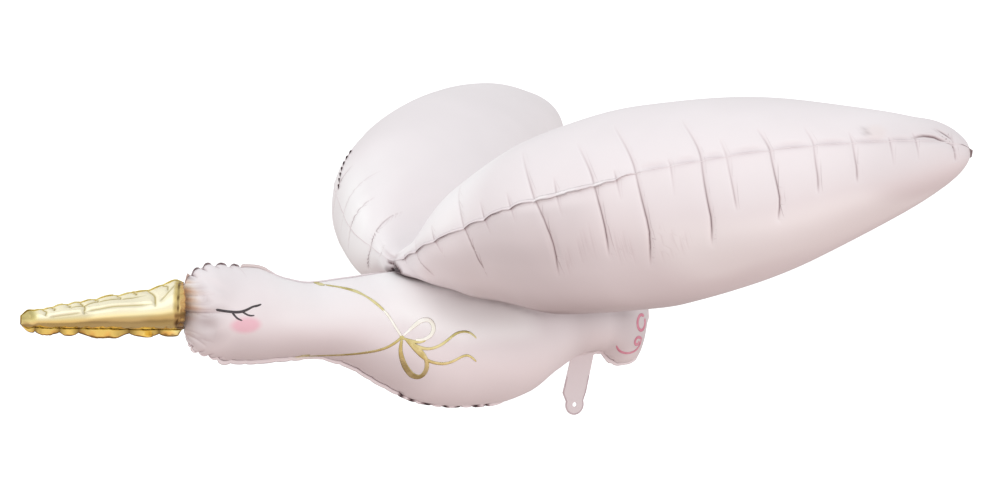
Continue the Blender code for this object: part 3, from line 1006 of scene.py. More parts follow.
def make_wings():
    front = [(-1, in_shares(LEFT_FRONT_CREASES)), (1, in_shares(RIGHT_FRONT_CREASES))]
    rear = [(-1, rear_creases(31, 15)), (1, rear_creases(57, 15))]
    places = [side * row[0] for side, rows in front + rear for row in rows] + [-0.995, 0.995, 0.0]
    span = spread(WING_COLUMNS, peaks(places, 0.006, 2.2), -1.0, 1.0)
    left = -span
    grid_span, grid_angle = np.meshgrid(span, ring_angles(WING_ROWS), indexing="ij")
    share, lower = np.abs(grid_span), grid_angle > np.pi
    turn = np.where(lower, 2 * np.pi - grid_angle, grid_angle) / np.pi
    away = np.minimum(turn, 0.5) * np.where(lower, -0.04, -0.15)
    lean = away * eased((0.5 - turn) / 0.3) * eased(share / 0.1) * eased((1 - share) / 0.12)
    skin = Skin(wing_skin(np.sign(grid_span) * np.clip(share + lean, 0, 1), grid_angle))
    press_wings(skin, front, rear)
    skin.sway(5, 0.0005, 0.11)
    skin.height *= eased((1 - np.abs(span)) / 0.012)[:, None]
    points = skin.formed()

    # the seams stand out in arcs between the creases
    _, forward, up = wing_frame(span)
    arc, run, rear_arc = np.zeros((3, len(span)))
    for (side, rows), (_, back_rows) in zip(front, rear):
        own = span * side > 0
        height, along = arcs([row[0] for row in rows], side * span, 0.0026, 0.034)
        arc[own], run[own] = height[own] * (1.0 if side < 0 else 0.4), along[own]
        height, _ = arcs([row[0] for row in back_rows], side * span, 0.0022, 0.05)
        rear_arc[own] = height[own]
    shown = (span < 0) * window(left, 0.04, 0.07, 0.5, 0.54)
    arc = arc * (1 - 0.75 * window(left, 0.33, 0.37, 0.5, 0.55))
    arc_way = up * shown[:, None] + (forward + up * 0.3) * (0.8 * (1 - shown))[:, None]
    for row, way in ((0, arc_way * arc[:, None]), (WING_ROWS, -forward * rear_arc[:, None])):
        away = distance(skin.base, skin.base[:, row:row + 1])
        points += way[:, None, :] * np.exp(-away / ARC_REACH)[..., None]
    settled, touching = settled_on_body(points.copy(), share)
    points = clear_of_body(np.where(lower[..., None], settled, points))
    # painted shade where the lower sheets rest on the body
    skin.mark("dusk", 0.75 * touching * lower)
    # painted shade in the dips along the left wing's front seam, between the creases
    painted_hollow_shade = 0.42 * window(left, 0.48, 0.56, 0.93, 0.98) * np.sin(np.pi * run) ** 0.7
    away = distance(skin.base, skin.base[:, :1] + up[:, None] * 0.0012)
    skin.mark("painted_hollow_shade", painted_hollow_shade[:, None] * bell(away, 0.0046))
    shade_wings(skin, points, span, grid_angle)
    foil = skin_object("wings_foil", skin, points)
    foil.data.materials.append(PINK)

    # the weld lip, which droops at the front
    tip = between(np.abs(span), 0.985, 1.0)[:, None]
    outside = np.stack([0 * span, np.sign(span), 0 * span], -1)
    droop = np.radians(np.where(span < 0, 62 - 122 * between(left, 0.46, 0.53),
                                20 + 50 * (1 - between(span, 0.34, 0.44))))[:, None]
    ahead = unit(forward * (1 - tip) + outside * tip)
    ahead = ahead * np.cos(droop) - up * np.sin(droop)
    behind = unit(-forward * (1 - tip) + outside * tip)
    root = 0.25 + 0.75 * between(np.abs(span), 0.02, 0.07)
    slim = 1 - 0.85 * between(left, 0.47, 0.53) + 0.35 * window(left, 0.3, 0.36, 0.44, 0.5)
    slim *= 1 - 0.72 * window(span, 0.01, 0.04, 0.34, 0.44)
    # the lip carries a painted shadow line under its edge (rim), a painted highlight on its face and
    # painted shade at the tip
    rim = 0.9 * shown * (1 - between(run, 0.25, 0.95)) * (1 - 0.55 * between(left, 0.29, 0.34))
    painted_lip_highlight = window(left, 0.3, 0.33, 0.6, 0.66) * (1 - between(run, 0.45, 0.6))
    wavy = 1 + 1.6 * window(left, 0.3, 0.35, 0.45, 0.5)
    end = 0.7 * between(left, 0.988, 0.994)
    lip = weld_lip(
        "wing_lip", there_and_back(points[:, 0], points[:, WING_ROWS]), there_and_back(ahead, behind),
        there_and_back(up, up), there_and_back(root * slim, root), PINK, (0.004, 0.012, 3.0),
        {"rim": there_and_back(rim, 0 * rim), "wavy": there_and_back(wavy, 0 * wavy + 1),
         "dusk": there_and_back(end, end), "pale": there_and_back(painted_lip_highlight, 0 * painted_lip_highlight)})

    # the crimps at the front edge of the right wing, darkened with painted shade
    shares = np.linspace(0.314, 0.246, 80)
    turns = np.interp(shares, (0.246, 0.258, 0.272, 0.29, 0.309, 0.314),
                      (0.026, 0.052, 0.073, 0.101, 0.136, 0.144))
    path = wing_skin(shares, turns * np.pi)
    rise = unit(path - wing_skin(shares, 0 * shares - np.pi / 2))
    beads = np.abs(np.sin(np.linspace(0, 7 * np.pi, 80))) ** 1.2 * np.interp(
        shares, (0.246, 0.256, 0.262, 0.3, 0.314), (0.7, 1.7, 1.2, 1.0, 0.9))
    crimps = weld_lip(
        "wing_crimps", path - rise * 0.0005, rise, np.cross(rise, unit(np.gradient(path, axis=0))),
        0.06 + beads, PINK, (0.001, 0.006, 5.0), {"dusk": 0.95 * np.clip(beads * 1.5, 0, 1)},
        width=0.0028, thickness=0.0008)
    return joined("wings_foil", [foil, lip, crimps]), points[lower]


# The body

JOINT_X = -0.5885
HEAD_PLEATS = (  # height on the joint, end (x, z), depth in mm
    (0.1965, (-0.572, 0.201), 2.0), (0.19, (-0.566, 0.194), 1.5), (0.1815, (-0.56, 0.185), 2.4),
    (0.1705, (-0.567, 0.172), 1.8), (0.16, (-0.546, 0.1622), 4.6), (0.137, (-0.571, 0.1265), 1.5),
    (0.131, (-0.566, 0.113), 2.4), (0.1265, (-0.573, 0.108), 2.0),
)
HEAD_FINE_LINES = (  # start and end (x, z)
    ((-0.58, 0.184), (-0.565, 0.1797)), ((-0.579, 0.1808), (-0.562, 0.176)),
    ((-0.577, 0.1776), (-0.563, 0.1733)), ((-0.581, 0.156), (-0.567, 0.1548)),
    ((-0.58, 0.1275), (-0.566, 0.121)), ((-0.574, 0.1235), (-0.56, 0.12)),
)
TOP_CREASES = (  # over the top seam of the head: x, reach (turns), depth in mm
    (-0.5785, 0.16, 3.4), (-0.5635, 0.13, 3.0), (-0.545, 0.1, 2.6), (-0.5245, 0.07, 2.4),
    (-0.515, 0.2, 1.0), (-0.5085, 0.05, 1.4), (-0.47, 0.06, 0.9), (-0.445, 0.05, 0.8),
)
THROAT_CREASES = (  # over the seam below it: x, reach (turns), depth in mm
    (-0.58, 0.1, 2.6), (-0.569, 0.14, 2.6), (-0.556, 0.12, 2.4), (-0.542, 0.1, 2.0),
    (-0.523, 0.08, 1.5), (-0.502, 0.08, 1.6), (-0.485, 0.06, 1.0),
)
BODY_DENTS = (  # soft dips at the head and the tail: points (x, z), depth, width
    (((-0.5895, 0.1475), (-0.56, 0.14)), 0.003, 0.01),
    (((-0.58, 0.208), (-0.542, 0.186)), 0.0016, 0.006),
    (((-0.014, 0.069), (0.02, 0.076), (0.048, 0.069)), 0.002, 0.01),
)
TAIL_FOLDS = (  # points (x, z), depths in mm, width, grip
    (((-0.014, 0.0655), (-0.002, 0.0695), (0.018, 0.073), (0.03, 0.072)),
     (0.2, 1.0, 1.8, 2.2, 2.2, 1.8, 1.0, 0.2), 0.004, 0.5),
    (((0.033, 0.074), (0.044, 0.069), (0.056, 0.059)), (0.6, 1.8, 2.4, 2.2, 1.6, 0.6), 0.0032, 0.8),
)
# Soft ovals of painted shade on the side: x, z, half length, half height, strength.
HEAD_SHADES = (
    (-0.572, 0.148, 0.018, 0.018, 0.34), (-0.566, 0.13, 0.024, 0.014, 0.24),
    (-0.572, 0.174, 0.01, 0.008, 0.18), (-0.56, 0.165, 0.018, 0.01, 0.22),
    (-0.577, 0.192, 0.01, 0.008, 0.18), (-0.55, 0.185, 0.02, 0.02, 0.14),
    (-0.5895, 0.1815, 0.0035, 0.003, 0.3), (-0.5895, 0.169, 0.0035, 0.0022, 0.5),
    (-0.5895, 0.159, 0.0035, 0.0016, 0.7), (-0.5895, 0.143, 0.0035, 0.0085, 0.15),
    (-0.585, 0.204, 0.005, 0.003, 0.7),
)
TAIL_SHADES = (
    (-0.002, 0.069, 0.016, 0.004, 0.2), (0.022, 0.0735, 0.014, 0.0045, 0.26),
    (0.048, 0.065, 0.009, 0.005, 0.22),
)
GOLD_GLINTS = (  # a painted reflection of the beak's gold in the foil beside it
    (-0.589, 0.1995, 0.006, 0.0034, 0.55), (-0.589, 0.1875, 0.01, 0.0034, 0.7),
    (-0.589, 0.1765, 0.008, 0.0034, 0.6), (-0.589, 0.1655, 0.012, 0.0034, 0.7),
    (-0.589, 0.152, 0.005, 0.0034, 0.3), (-0.589, 0.13, 0.004, 0.0034, 0.25),
)
HEAD_LOBES = ((-0.5785, -0.5655), (-0.563, -0.5495), (-0.5435, -0.5275), (-0.523, -0.5095))
BELLY_CRIMPS = (  # x and half length
    (-0.271, 0.0045), (-0.255, 0.0055), (-0.232, 0.009), (-0.204, 0.0055), (-0.184, 0.006),
    (-0.157, 0.007), (-0.14, 0.0045),
)


def side_turn(share, z):
    """The angle of the point at this height on the left of the body."""
    _, back, belly, _ = body_place(share)
    return np.arccos(np.clip((z - (back + belly) / 2) / ((back - belly) / 2), -1, 1))


def body_path(points, side, steps=12):
    """A path over the body's side through points (x, z)."""
    points = np.asarray(points, float)
    length = lengths_along(points)
    at = np.linspace(0, length[-1], steps)
    x, z = np.interp(at, length, points[:, 0]), np.interp(at, length, points[:, 1])
    share = x / BODY_LENGTH + HOLE_SHARE
    angle = side_turn(share, z)
    return body_skin(share, angle if side < 0 else 2 * np.pi - angle)


def seam_crease(skin, x, reaches, depth, lean, top=True, width=0.0028):
    """A crease over the top or bottom seam at x, running down each side by its reach (turns)."""
    turns = np.linspace(-reaches[1], reaches[0], 15)
    share = x / BODY_LENGTH + HOLE_SHARE + lean * np.abs(turns)
    path = body_skin(np.clip(share, 0.002, 0.998), (turns if top else 1 - turns) * np.pi)
    fade = np.where(turns > 0, 1 - turns / reaches[0], 1 + turns / reaches[1])
    skin.press(path, depth * MM * np.clip(fade, 0, 1) ** 0.6, width, min(1.0, 0.3 + depth / 4))


def press_body(skin):
    """All creases, dents and fine lines of the body."""
    chance = np.random.default_rng(12)
    fade = np.linspace(1, 0, 12) ** 0.6
    for start, end, depth in HEAD_PLEATS:
        for side in (-1, 1):
            path = body_path(((JOINT_X, start), end), side)
            skin.press(path, depth * MM * fade, 0.0032, 0.3 + depth * 0.11)
    for x, reach, depth in TOP_CREASES:
        seam_crease(skin, x, (reach, reach * 0.9), depth, 0.02, width=0.0022)
    for side in (-1, 1):
        for ends in HEAD_FINE_LINES:
            depths = np.array([0.2, 0.6, 0.7, 0.6, 0.4, 0.1]) * MM
            skin.press(body_path(ends, side, 6), depths, 0.0012, 0.35)
        for points, depth, width in BODY_DENTS:
            skin.dent(body_path(points, side, 8), depth, width)
        for points, depths, width, grip in TAIL_FOLDS:
            skin.press(body_path(points, side, len(depths)), np.array(depths) * MM, width, grip)
    for x, reach, depth in THROAT_CREASES:
        seam_crease(skin, x, (reach, reach * 1.1), depth, 0.02, top=False)
    for count, start, step, shift, reach_most, depth_most, top in (
            (24, -0.455, 0.0225, 0.006, 0.1, 2.2, False), (16, -0.1, 0.0135, 0.004, 0.13, 2.0, True)):
        for k in range(count):
            x = start + step * k + chance.uniform(-shift, shift)
            reach = chance.uniform(0.04 if top else 0.035, reach_most)
            seam_crease(skin, x, (reach, reach * chance.uniform(0.7, 1.3)), chance.uniform(0.9, depth_most),
                        chance.uniform(-0.05, 0.05), top)
    skin.sway(8, 0.0005, 0.09)


def shade_body(skin, above):
    """Painted shade, painted light, the printed cheek and a warm tint that is a painted reflection of the
    gold, with painted shade of the wings above it.
    """
    x, z = skin.base[..., 0], skin.base[..., 2]
    cheek = np.hypot((x - CHEEK_X) / CHEEK_LENGTH, (z - CHEEK_Z) / CHEEK_HEIGHT)
    skin.mark("blush", 0.74 * (1 - between(cheek, 0.62, 1.22)))
    # painted shade low on the head and neck, on the tail, and under the wings
    facing = -skin.out[..., 2]
    lower = between(facing, 0.0, 0.5) * (
        0.01 + 0.12 * (1 - between(x, -0.3, -0.24)) * between(x, -0.565, -0.52))
    tail = (0.13 * between(x, -0.06, 0.0) + 0.12 * between(x, 0.03, 0.06)) * between(z, 0.055, 0.085)
    places = (-0.235, -0.213, -0.155, -0.095, -0.022, 0.034, 0.06, 0.088)
    strength, edge, fall = [np.interp(x, places, column) for column in (
        (0, 0.2, 0.5, 0.38, 0.42, 0.28, 0.26, 0),
        (0.17, 0.167, 0.157, 0.138, 0.133, 0.129, 0.127, 0.124),
        (0.004, 0.004, 0.004, 0.006, 0.016, 0.01, 0.01, 0.01))]
    open_top = 1 - between(-facing, 0.4, 0.8) * between(x, -0.16, -0.07)
    under_wing = strength * np.exp(-np.clip(edge - z, 0, None) / fall)
    skin.mark("dusk", lower * (x < 0) + (tail + under_wing) * open_top)
    # painted light on the body's side and on the head by the joint, where the real shading comes out too
    # dark
    high = np.interp(x, (-0.3, -0.22), (0.125, 0.095))
    skin.mark("pale", window(x, -0.5, -0.46, -0.13, -0.08) * between(z, high, high + 0.03)
              * (0.4 + 0.6 * between(x, -0.335, -0.29)))
    skin.mark("pale", (1 - between(x, -0.588, -0.574)) * between(z, 0.15, 0.165))
    # painted shade where the body lies close under the wings' lower sheets
    tree = kdtree.KDTree(len(above))
    for k, point in enumerate(above):
        tree.insert(point, k)
    tree.balance()
    gap = np.full(x.shape, 1.0)
    for k, j in zip(*np.nonzero((x > -0.31) & (x < 0.09) & (z > 0.07))):
        gap[k, j] = tree.find(skin.base[k, j])[2]
    skin.mark("dusk", 0.8 * bell(gap, 0.0042) + 0.03 * np.exp(-gap / 0.03))
    # a painted shade line along the belly's seam
    seam_away = distance(skin.base, skin.base[:, BODY_ROWS:BODY_ROWS + 1])
    skin.mark("dusk", 0.62 * window(x, -0.368, -0.35, -0.275, -0.268) * bell(seam_away, 0.002))
    skin.ovals("dusk", HEAD_SHADES + TAIL_SHADES)
    skin.ovals("warm", GOLD_GLINTS)


def make_body(above):
    """The points given are the wings' lower sheets, which rest on the back."""
    share = spread(BODY_COLUMNS,
                   lambda at: 1 + 1.6 * (1 - between(at, 0.12, 0.2)) + 0.8 * between(at, 0.86, 0.9))
    skin = Skin(body_skin(*np.meshgrid(share, ring_angles(BODY_ROWS), indexing="ij")))
    press_body(skin)
    skin.height *= (eased(share / 0.006) * eased((1 - share) / 0.006))[:, None]
    shade_body(skin, above)
    points = skin.formed()
    for row, sign, size, places in ((0, 1, 0.0024, (-0.5785, -0.5635, -0.545, -0.5245, -0.5085)),
                                    (BODY_ROWS, -1, 0.0022, (-0.58, -0.569, -0.556, -0.542, -0.523))):
        arc, _ = arcs((JOINT_X, *places), skin.base[:, row, 0], size, 0.016)
        away = distance(skin.base, skin.base[:, row:row + 1])
        points[..., 2] += sign * arc[:, None] * np.exp(-away / ARC_REACH)
    foil = skin_object("body_foil", skin, points)
    foil.data.materials.append(PINK)

    # the weld lip, from the joint over the back and along the belly to the joint again
    seam = there_and_back(points[:, 0], points[:, BODY_ROWS])
    outward = there_and_back(*seam_directions(
        skin, BODY_ROWS, 1.0, between(share, 0.99, 1.0), 1 - between(share, 0.0, 0.02)))
    lift = np.zeros_like(outward) + np.array([0, -1.0, 0])
    x = points[:, 0, 0]
    start = 0.1 + 0.9 * between(share, 0.0, 0.004)
    crescents = sum(np.clip(np.sin(np.pi * np.clip((x - low) / (high - low), 0, 1)), 0, 1) ** 0.35
                    for low, high in HEAD_LOBES)
    head = 1 - between(x, -0.5095, -0.5065)
    nape = window(x, -0.5095, -0.5065, -0.475, -0.455)
    brow = 1 - between(x, -0.5815, -0.579)
    wide_top = head * (0.04 + 0.46 * crescents + 0.9 * brow) + nape * 0.85 + (1 - head - nape) * 0.45
    wide_top = wide_top * (1 - 0.8 * window(x, -0.315, -0.3, 0.0, 0.03)) * start
    dark_top = head * (crescents * 0.92 + 0.45 * brow) + nape * 0.1
    ragged = 1 - between(x, -0.556, -0.54)
    throat = window(x, -0.556, -0.54, -0.44, -0.4)
    belly = window(x, -0.4, -0.36, -0.28, -0.26)
    wide_bottom = start * (0.75 - 0.15 * ragged + 0.55 * throat + 0.35 * belly)
    wide_bottom += 0.55 * bell(x + 0.148, 0.03) + 0.8 * bell(x - 0.05, 0.016)
    wide_bottom *= 1 - 0.25 * window(x, -0.245, -0.235, -0.05, -0.02)
    wide_bottom *= 1 - 0.35 * window(x, -0.576, -0.57, -0.545, -0.538)
    crimps = sum(np.exp(-(((x - at) / long) ** 4)) for at, long in BELLY_CRIMPS)
    # the lip carries painted shade in the head's crescents and the belly's crimps, a painted reflection of
    # the gold at the brow and a warm tint at the nape
    lip = weld_lip("body_lip", seam, outward, lift, there_and_back(wide_top, wide_bottom), PINK,
                   (0.005, 0.01, 7.0),
                   {"wavy": there_and_back(0.5 + 0 * share, 0.7 + 2.2 * ragged + 1.5 * crimps),
                    "dusk": there_and_back(dark_top, 0.96 * crimps),
                    "warm": there_and_back(nape * 0.16 + brow * 0.5, 0 * share)})
    return foil, lip


def tab_outline(steps, inset=0.0, top_z=None):
    """The filling tab's edge (x, z), from one root round its end to the other root."""
    root_z = float(body_place(HOLE_SHARE)[2]) + TAB_ROOT_DEPTH
    top_z = root_z if top_z is None else top_z
    high = (top_z - TAB_HIP_Z) / (root_z - TAB_HIP_Z)
    (hip, top), (far_hip, far_top) = [
        (hip + shift, hip + (root - hip) * high + shift)
        for hip, root, shift in zip(TAB_HIPS_X, TAB_ROOTS_X, (inset, -inset))]
    radius = TAB_END_RADIUS - inset
    angles = np.linspace(math.pi - TAB_SHOULDER_ANGLE, math.tau + TAB_SHOULDER_ANGLE, steps)
    arc = [(radius * math.cos(angle), radius * math.sin(angle)) for angle in angles]
    return [(top, top_z), (hip, TAB_HIP_Z), *arc, (far_hip, TAB_HIP_Z), (far_top, top_z)]


def filling_tab():
    """The flat tongue the balloon is filled and hung by, with its round hole."""
    hole = [(TAB_HOLE_RADIUS * math.cos(math.tau * k / 40), TAB_HOLE_RADIUS * math.sin(math.tau * k / 40))
            for k in range(40)]
    curve = bpy.data.curves.new("filling_tab", "CURVE")
    curve.dimensions, curve.fill_mode = "2D", "BOTH"
    curve.extrude, curve.bevel_depth = TAB_THICKNESS / 2 - TAB_EDGE_RADIUS, TAB_EDGE_RADIUS
    curve.bevel_resolution = 1
    for ring in (tab_outline(33), hole):
        spline = curve.splines.new("POLY")
        spline.points.add(len(ring) - 1)
        spline.points.foreach_set("co", np.array([(x, z, 0, 1) for x, z in ring], np.float32).ravel())
        spline.use_cyclic_u = True
    mesh = plain_mesh(placed("filling_tab", curve))
    points = np.empty(len(mesh.vertices) * 3, np.float32)
    mesh.vertices.foreach_get("co", points)
    points = points.reshape(-1, 3)[:, [0, 2, 1]]
    mesh.vertices.foreach_set("co", points.ravel())
    mesh.materials.clear()
    mesh.materials.append(PINK)
    # the tab is all weld, with light painted shade over it
    for title, value in (("weld", 1.0), ("dusk", 0.13)):
        kept = mesh.attributes.new(title, "FLOAT", "POINT")
        kept.data.foreach_set("value", np.full(len(points), value, np.float32))
    return placed("filling_tab", facing_out(mesh))


# Printed lines on the side: name, ink, width in mm, points (x, z) in tenths of a millimetre, and
# the share of the width at each point.
PRINTS = (
    ("ribbon_start", GOLD_INK, 4.4, ((-4030, 1893), (-3975, 1890), (-3920, 1878)), (0.8, 1, 0.6)),
    ("ribbon_upper", GOLD_INK, 3.6, ((-3920, 1876), (-3800, 1856), (-3654, 1822), (-3550, 1785),
     (-3457, 1730), (-3350, 1645), (-3240, 1530)), (0.5, 0.55, 0.9, 1.1, 0.75, 1.15, 0.9)),
    # ribbon_glare and loop_upper are laid in the glare ink, a painted highlight
    ("ribbon_glare", GLARE_GOLD_INK, 3.8, ((-3262, 1555), (-3220, 1500), (-3130, 1340), (-3040, 1190)),
     (0.8, 1, 1, 0.9)),
    ("ribbon_lower", GOLD_INK, 3.8, ((-4237, 915), (-4056, 920), (-3788, 932), (-3410, 977),
     (-3205, 1045), (-3032, 1178)), (0.7, 0.8, 0.7, 0.9, 1, 1)),
    ("ribbon_end", GOLD_INK, 6.5, ((-4310, 925), (-4240, 925), (-4150, 945)), (0.8, 1, 0.6)),
    ("loop_upper", GLARE_GOLD_INK, 5.2, ((-3020, 1190), (-2930, 1270), (-2835, 1345), (-2740, 1395),
     (-2655, 1392), (-2605, 1330), (-2610, 1248), (-2665, 1175), (-2760, 1135), (-2860, 1140)),
     (0.5, 0.8, 1.1, 1.2, 1.2, 1.2, 1.1, 1, 0.9, 0.7)),
    ("loop_base", GOLD_INK, 4.4, ((-3010, 1160), (-2900, 1120), (-2800, 1105), (-2710, 1125)),
     (0.7, 1, 1, 0.5)),
    ("loop_lower", GOLD_INK, 5.6, ((-3032, 1150), (-3040, 1020), (-3000, 880), (-2930, 760), (-2851, 670),
     (-2780, 620), (-2715, 615), (-2670, 683), (-2665, 770), (-2700, 880), (-2780, 990), (-2900, 1100),
     (-3032, 1170)), (0.6, 0.9, 1.1, 1.2, 1.2, 1.2, 1.2, 1.1, 1, 0.9, 0.8, 0.7, 0.5)),
    ("tail_upper", GOLD_INK, 3.6, ((-3000, 1165), (-2870, 1070), (-2772, 1025), (-2650, 1010),
     (-2559, 1033), (-2450, 1090), (-2362, 1152), (-2270, 1205), (-2197, 1220), (-2120, 1215),
     (-2063, 1190), (-1985, 1120)), (0.9, 1.4, 1.3, 1.1, 1.1, 1.1, 1, 1, 0.9, 0.9, 0.8, 0.6)),
    ("tail_lower", GOLD_INK, 3.8, ((-2980, 1150), (-2850, 1010), (-2760, 920), (-2693, 865), (-2600, 820),
     (-2512, 800), (-2430, 795), (-2354, 810), (-2280, 840), (-2200, 880), (-2120, 895), (-2060, 870),
     (-1975, 800)), (1.0, 1.5, 1.4, 1.1, 1.1, 1.1, 1.1, 1, 1, 0.9, 0.9, 0.8, 0.6)),
    ("knot", GOLD_INK, 7.5, ((-3060, 1200), (-3032, 1172), (-3000, 1145)), (0.6, 1, 0.6)),
    ("eyelid", DARK_INK, 3.3, ((-5620, 1652), (-5540, 1635), (-5410, 1616), (-5340, 1612), (-5276, 1621),
     (-5200, 1645), (-5127, 1673), (-5070, 1682), (-5005, 1700)),
     (1.0, 1.0, 1.05, 1.1, 1.05, 0.95, 0.8, 0.9, 0.6)),
    ("lash_front", DARK_INK, 2.8, ((-5420, 1612), (-5390, 1570), (-5350, 1530), (-5285, 1498)),
     (1, 0.9, 0.9, 0.6)),
    ("lash_rear", DARK_INK, 2.6, ((-5290, 1618), (-5240, 1585), (-5180, 1560), (-5115, 1560)),
     (1, 0.9, 0.9, 0.6)),
    ("scroll_ring", ROSE_INK, 4.4, tuple((925 + 85 * math.cos(a), 1140 + 110 * math.sin(a))
     for a in np.linspace(0.8, 0.8 + 1.9 * math.pi, 22)), (1.0,) * 22),
    ("scroll_curl", ROSE_INK, 4.0, tuple((865 + 75 * (1 - k / 30) * math.cos(0.5 + k * 0.3),
     870 + 75 * (1 - k / 30) * math.sin(0.5 + k * 0.3))
     for k in range(22)), (1.0,) * 22),
    ("scroll_arc", ROSE_INK, 3.0, ((500, 840), (560, 770), (620, 735), (700, 715), (800, 722), (880, 760),
     (930, 840), (950, 930)), (0.6, 0.9, 1, 1, 1, 1, 1, 0.6)),
)


def flowing(marks, points, at):
    """An even curve through the points, with no kinks (a natural cubic spline)."""
    gap = np.diff(marks)
    matrix = np.eye(len(marks))
    right = np.zeros_like(points)
    for k in range(1, len(marks) - 1):
        matrix[k, k - 1:k + 2] = gap[k - 1], 2 * (gap[k - 1] + gap[k]), gap[k]
        right[k] = 6 * ((points[k + 1] - points[k]) / gap[k] - (points[k] - points[k - 1]) / gap[k - 1])
    bend = np.linalg.solve(matrix, right)
    k = np.clip(np.searchsorted(marks, at) - 1, 0, len(gap) - 1)
    h, u = gap[k][:, None], ((at - marks[k]) / gap[k])[:, None]
    low, high = points[k], points[k + 1]
    return (low * (1 - u) + high * u
            + h ** 2 / 6 * (bend[k] * ((1 - u) ** 3 - (1 - u)) + bend[k + 1] * (u ** 3 - u)))


def laid_line(name, flat, wide, finish, side, foil, width, thickness):
    """A thin line on the foil, laid on from one side through flat points (x, z)."""
    ahead = unit(np.gradient(flat, axis=0))
    level = np.zeros(len(flat))
    outward = np.stack([-ahead[:, 1], level, ahead[:, 0]], -1)
    lift = np.zeros_like(outward) + np.array([0, side, 0.0])
    return strip(f"{name}_{'left' if side < 0 else 'right'}", PRINT_TREE,
                 np.stack([flat[:, 0], level, flat[:, 1]], -1), outward, lift, wide, finish,
                 Width=width, Thickness=thickness, Foil=foil)


def printed_line(name, finish, width, points, widths, side, foil):
    points = np.asarray(points, float) / 10000
    length = lengths_along(points)
    at = np.linspace(0, length[-1], max(8, int(length[-1] / PRINT_STEP)))
    ends = np.sqrt(np.clip(np.minimum(at, length[-1] - at) / (0.5 * width * MM), 0.02, 1))
    return laid_line(name, flowing(length, points, at), np.interp(at, length, widths) * ends, finish, side,
                     foil, width * MM, PRINT_THICKNESS)


def tab_seal(side, tab):
    """The grey pressed edge round the filling tab."""
    points = np.array(tab_outline(25, TAB_SEAL_INSET, TAB_SEAL_TOP_Z))
    length = lengths_along(points)
    at = np.linspace(0, length[-1], 110)
    flat = np.stack([np.interp(at, length, column) for column in points.T], -1)
    return laid_line("tab_seal", flat, 1.0, SEAL_INK, side, tab, TAB_SEAL_WIDTH,
                     TAB_SEAL_THICKNESS)


# The beak

BEAK_FOLDS = (  # points (share, turn), depth in mm, width, grip
    (((0.77, 0.16), (0.66, 0.17), (0.56, 0.11), (0.41, 0.14), (0.25, 0.16)), 2.2, 0.003, 1.0),
    (((0.66, 0.37), (0.47, 0.33), (0.23, 0.35)), 2.0, 0.003, 0.9),
    (((0.87, 0.44), (0.76, 0.42), (0.67, 0.4)), 1.2, 0.0026, 0.6),
    (((0.2, 0.34), (0.13, 0.22), (0.07, 0.12)), 1.6, 0.0026, 0.8),
)
BEAK_CREASES = (  # down from the top seam: share, end turn, depth in mm
    (0.885, 0.4, 1.5), (0.83, 0.22, 1.2), (0.735, 0.2, 1.4), (0.655, 0.46, 1.9), (0.56, 0.12, 1.0),
    (0.42, 0.14, 1.6), (0.32, 0.1, 1.0), (0.225, 0.42, 2.0), (0.13, 0.2, 1.2),
)


def press_beak(skin):
    """All folds and creases of the beak. On the right they lie a little farther out."""
    chance = np.random.default_rng(4)
    run = np.linspace(0, 1, 14)
    fade = np.minimum(1, np.minimum(run, 1 - run) * 6)

    def line(points, depth, width, grip):
        shares, turns = evenly(points, 14)
        path = beak_skin(shares, (turns if side < 0 else 2 - turns) * np.pi)
        skin.press(path, depth * MM * fade, width, grip)

    for side in (-1, 1):
        shift = 0.0 if side < 0 else 0.03
        for points, depth, width, grip in BEAK_FOLDS:
            line([(share + shift * (share > 0.3), turn) for share, turn in points], depth, width, grip)
        for place, reach, depth in BEAK_CREASES:
            place += shift
            line(((place, 0.0), (place - 0.012, reach / 2), (place + 0.004, reach)),
                 depth * 1.3, 0.0026, 1.0)
        for k in range(13):
            place = 0.06 + 0.07 * k + chance.uniform(-0.015, 0.015)
            line(((place, 1.0), (place + chance.uniform(-0.02, 0.02), 0.92),
                  (place + chance.uniform(-0.02, 0.02), 0.8)), chance.uniform(0.8, 1.6), 0.0022, 0.6)
        for k in range(8):
            turn = 0.1 + 0.11 * k
            line(((0.004, turn), (0.03, turn + 0.01), (0.075, turn + chance.uniform(-0.02, 0.02))),
                 chance.uniform(1.0, 1.8), 0.002, 0.7)
    skin.sway(9, 0.0003, 0.03)


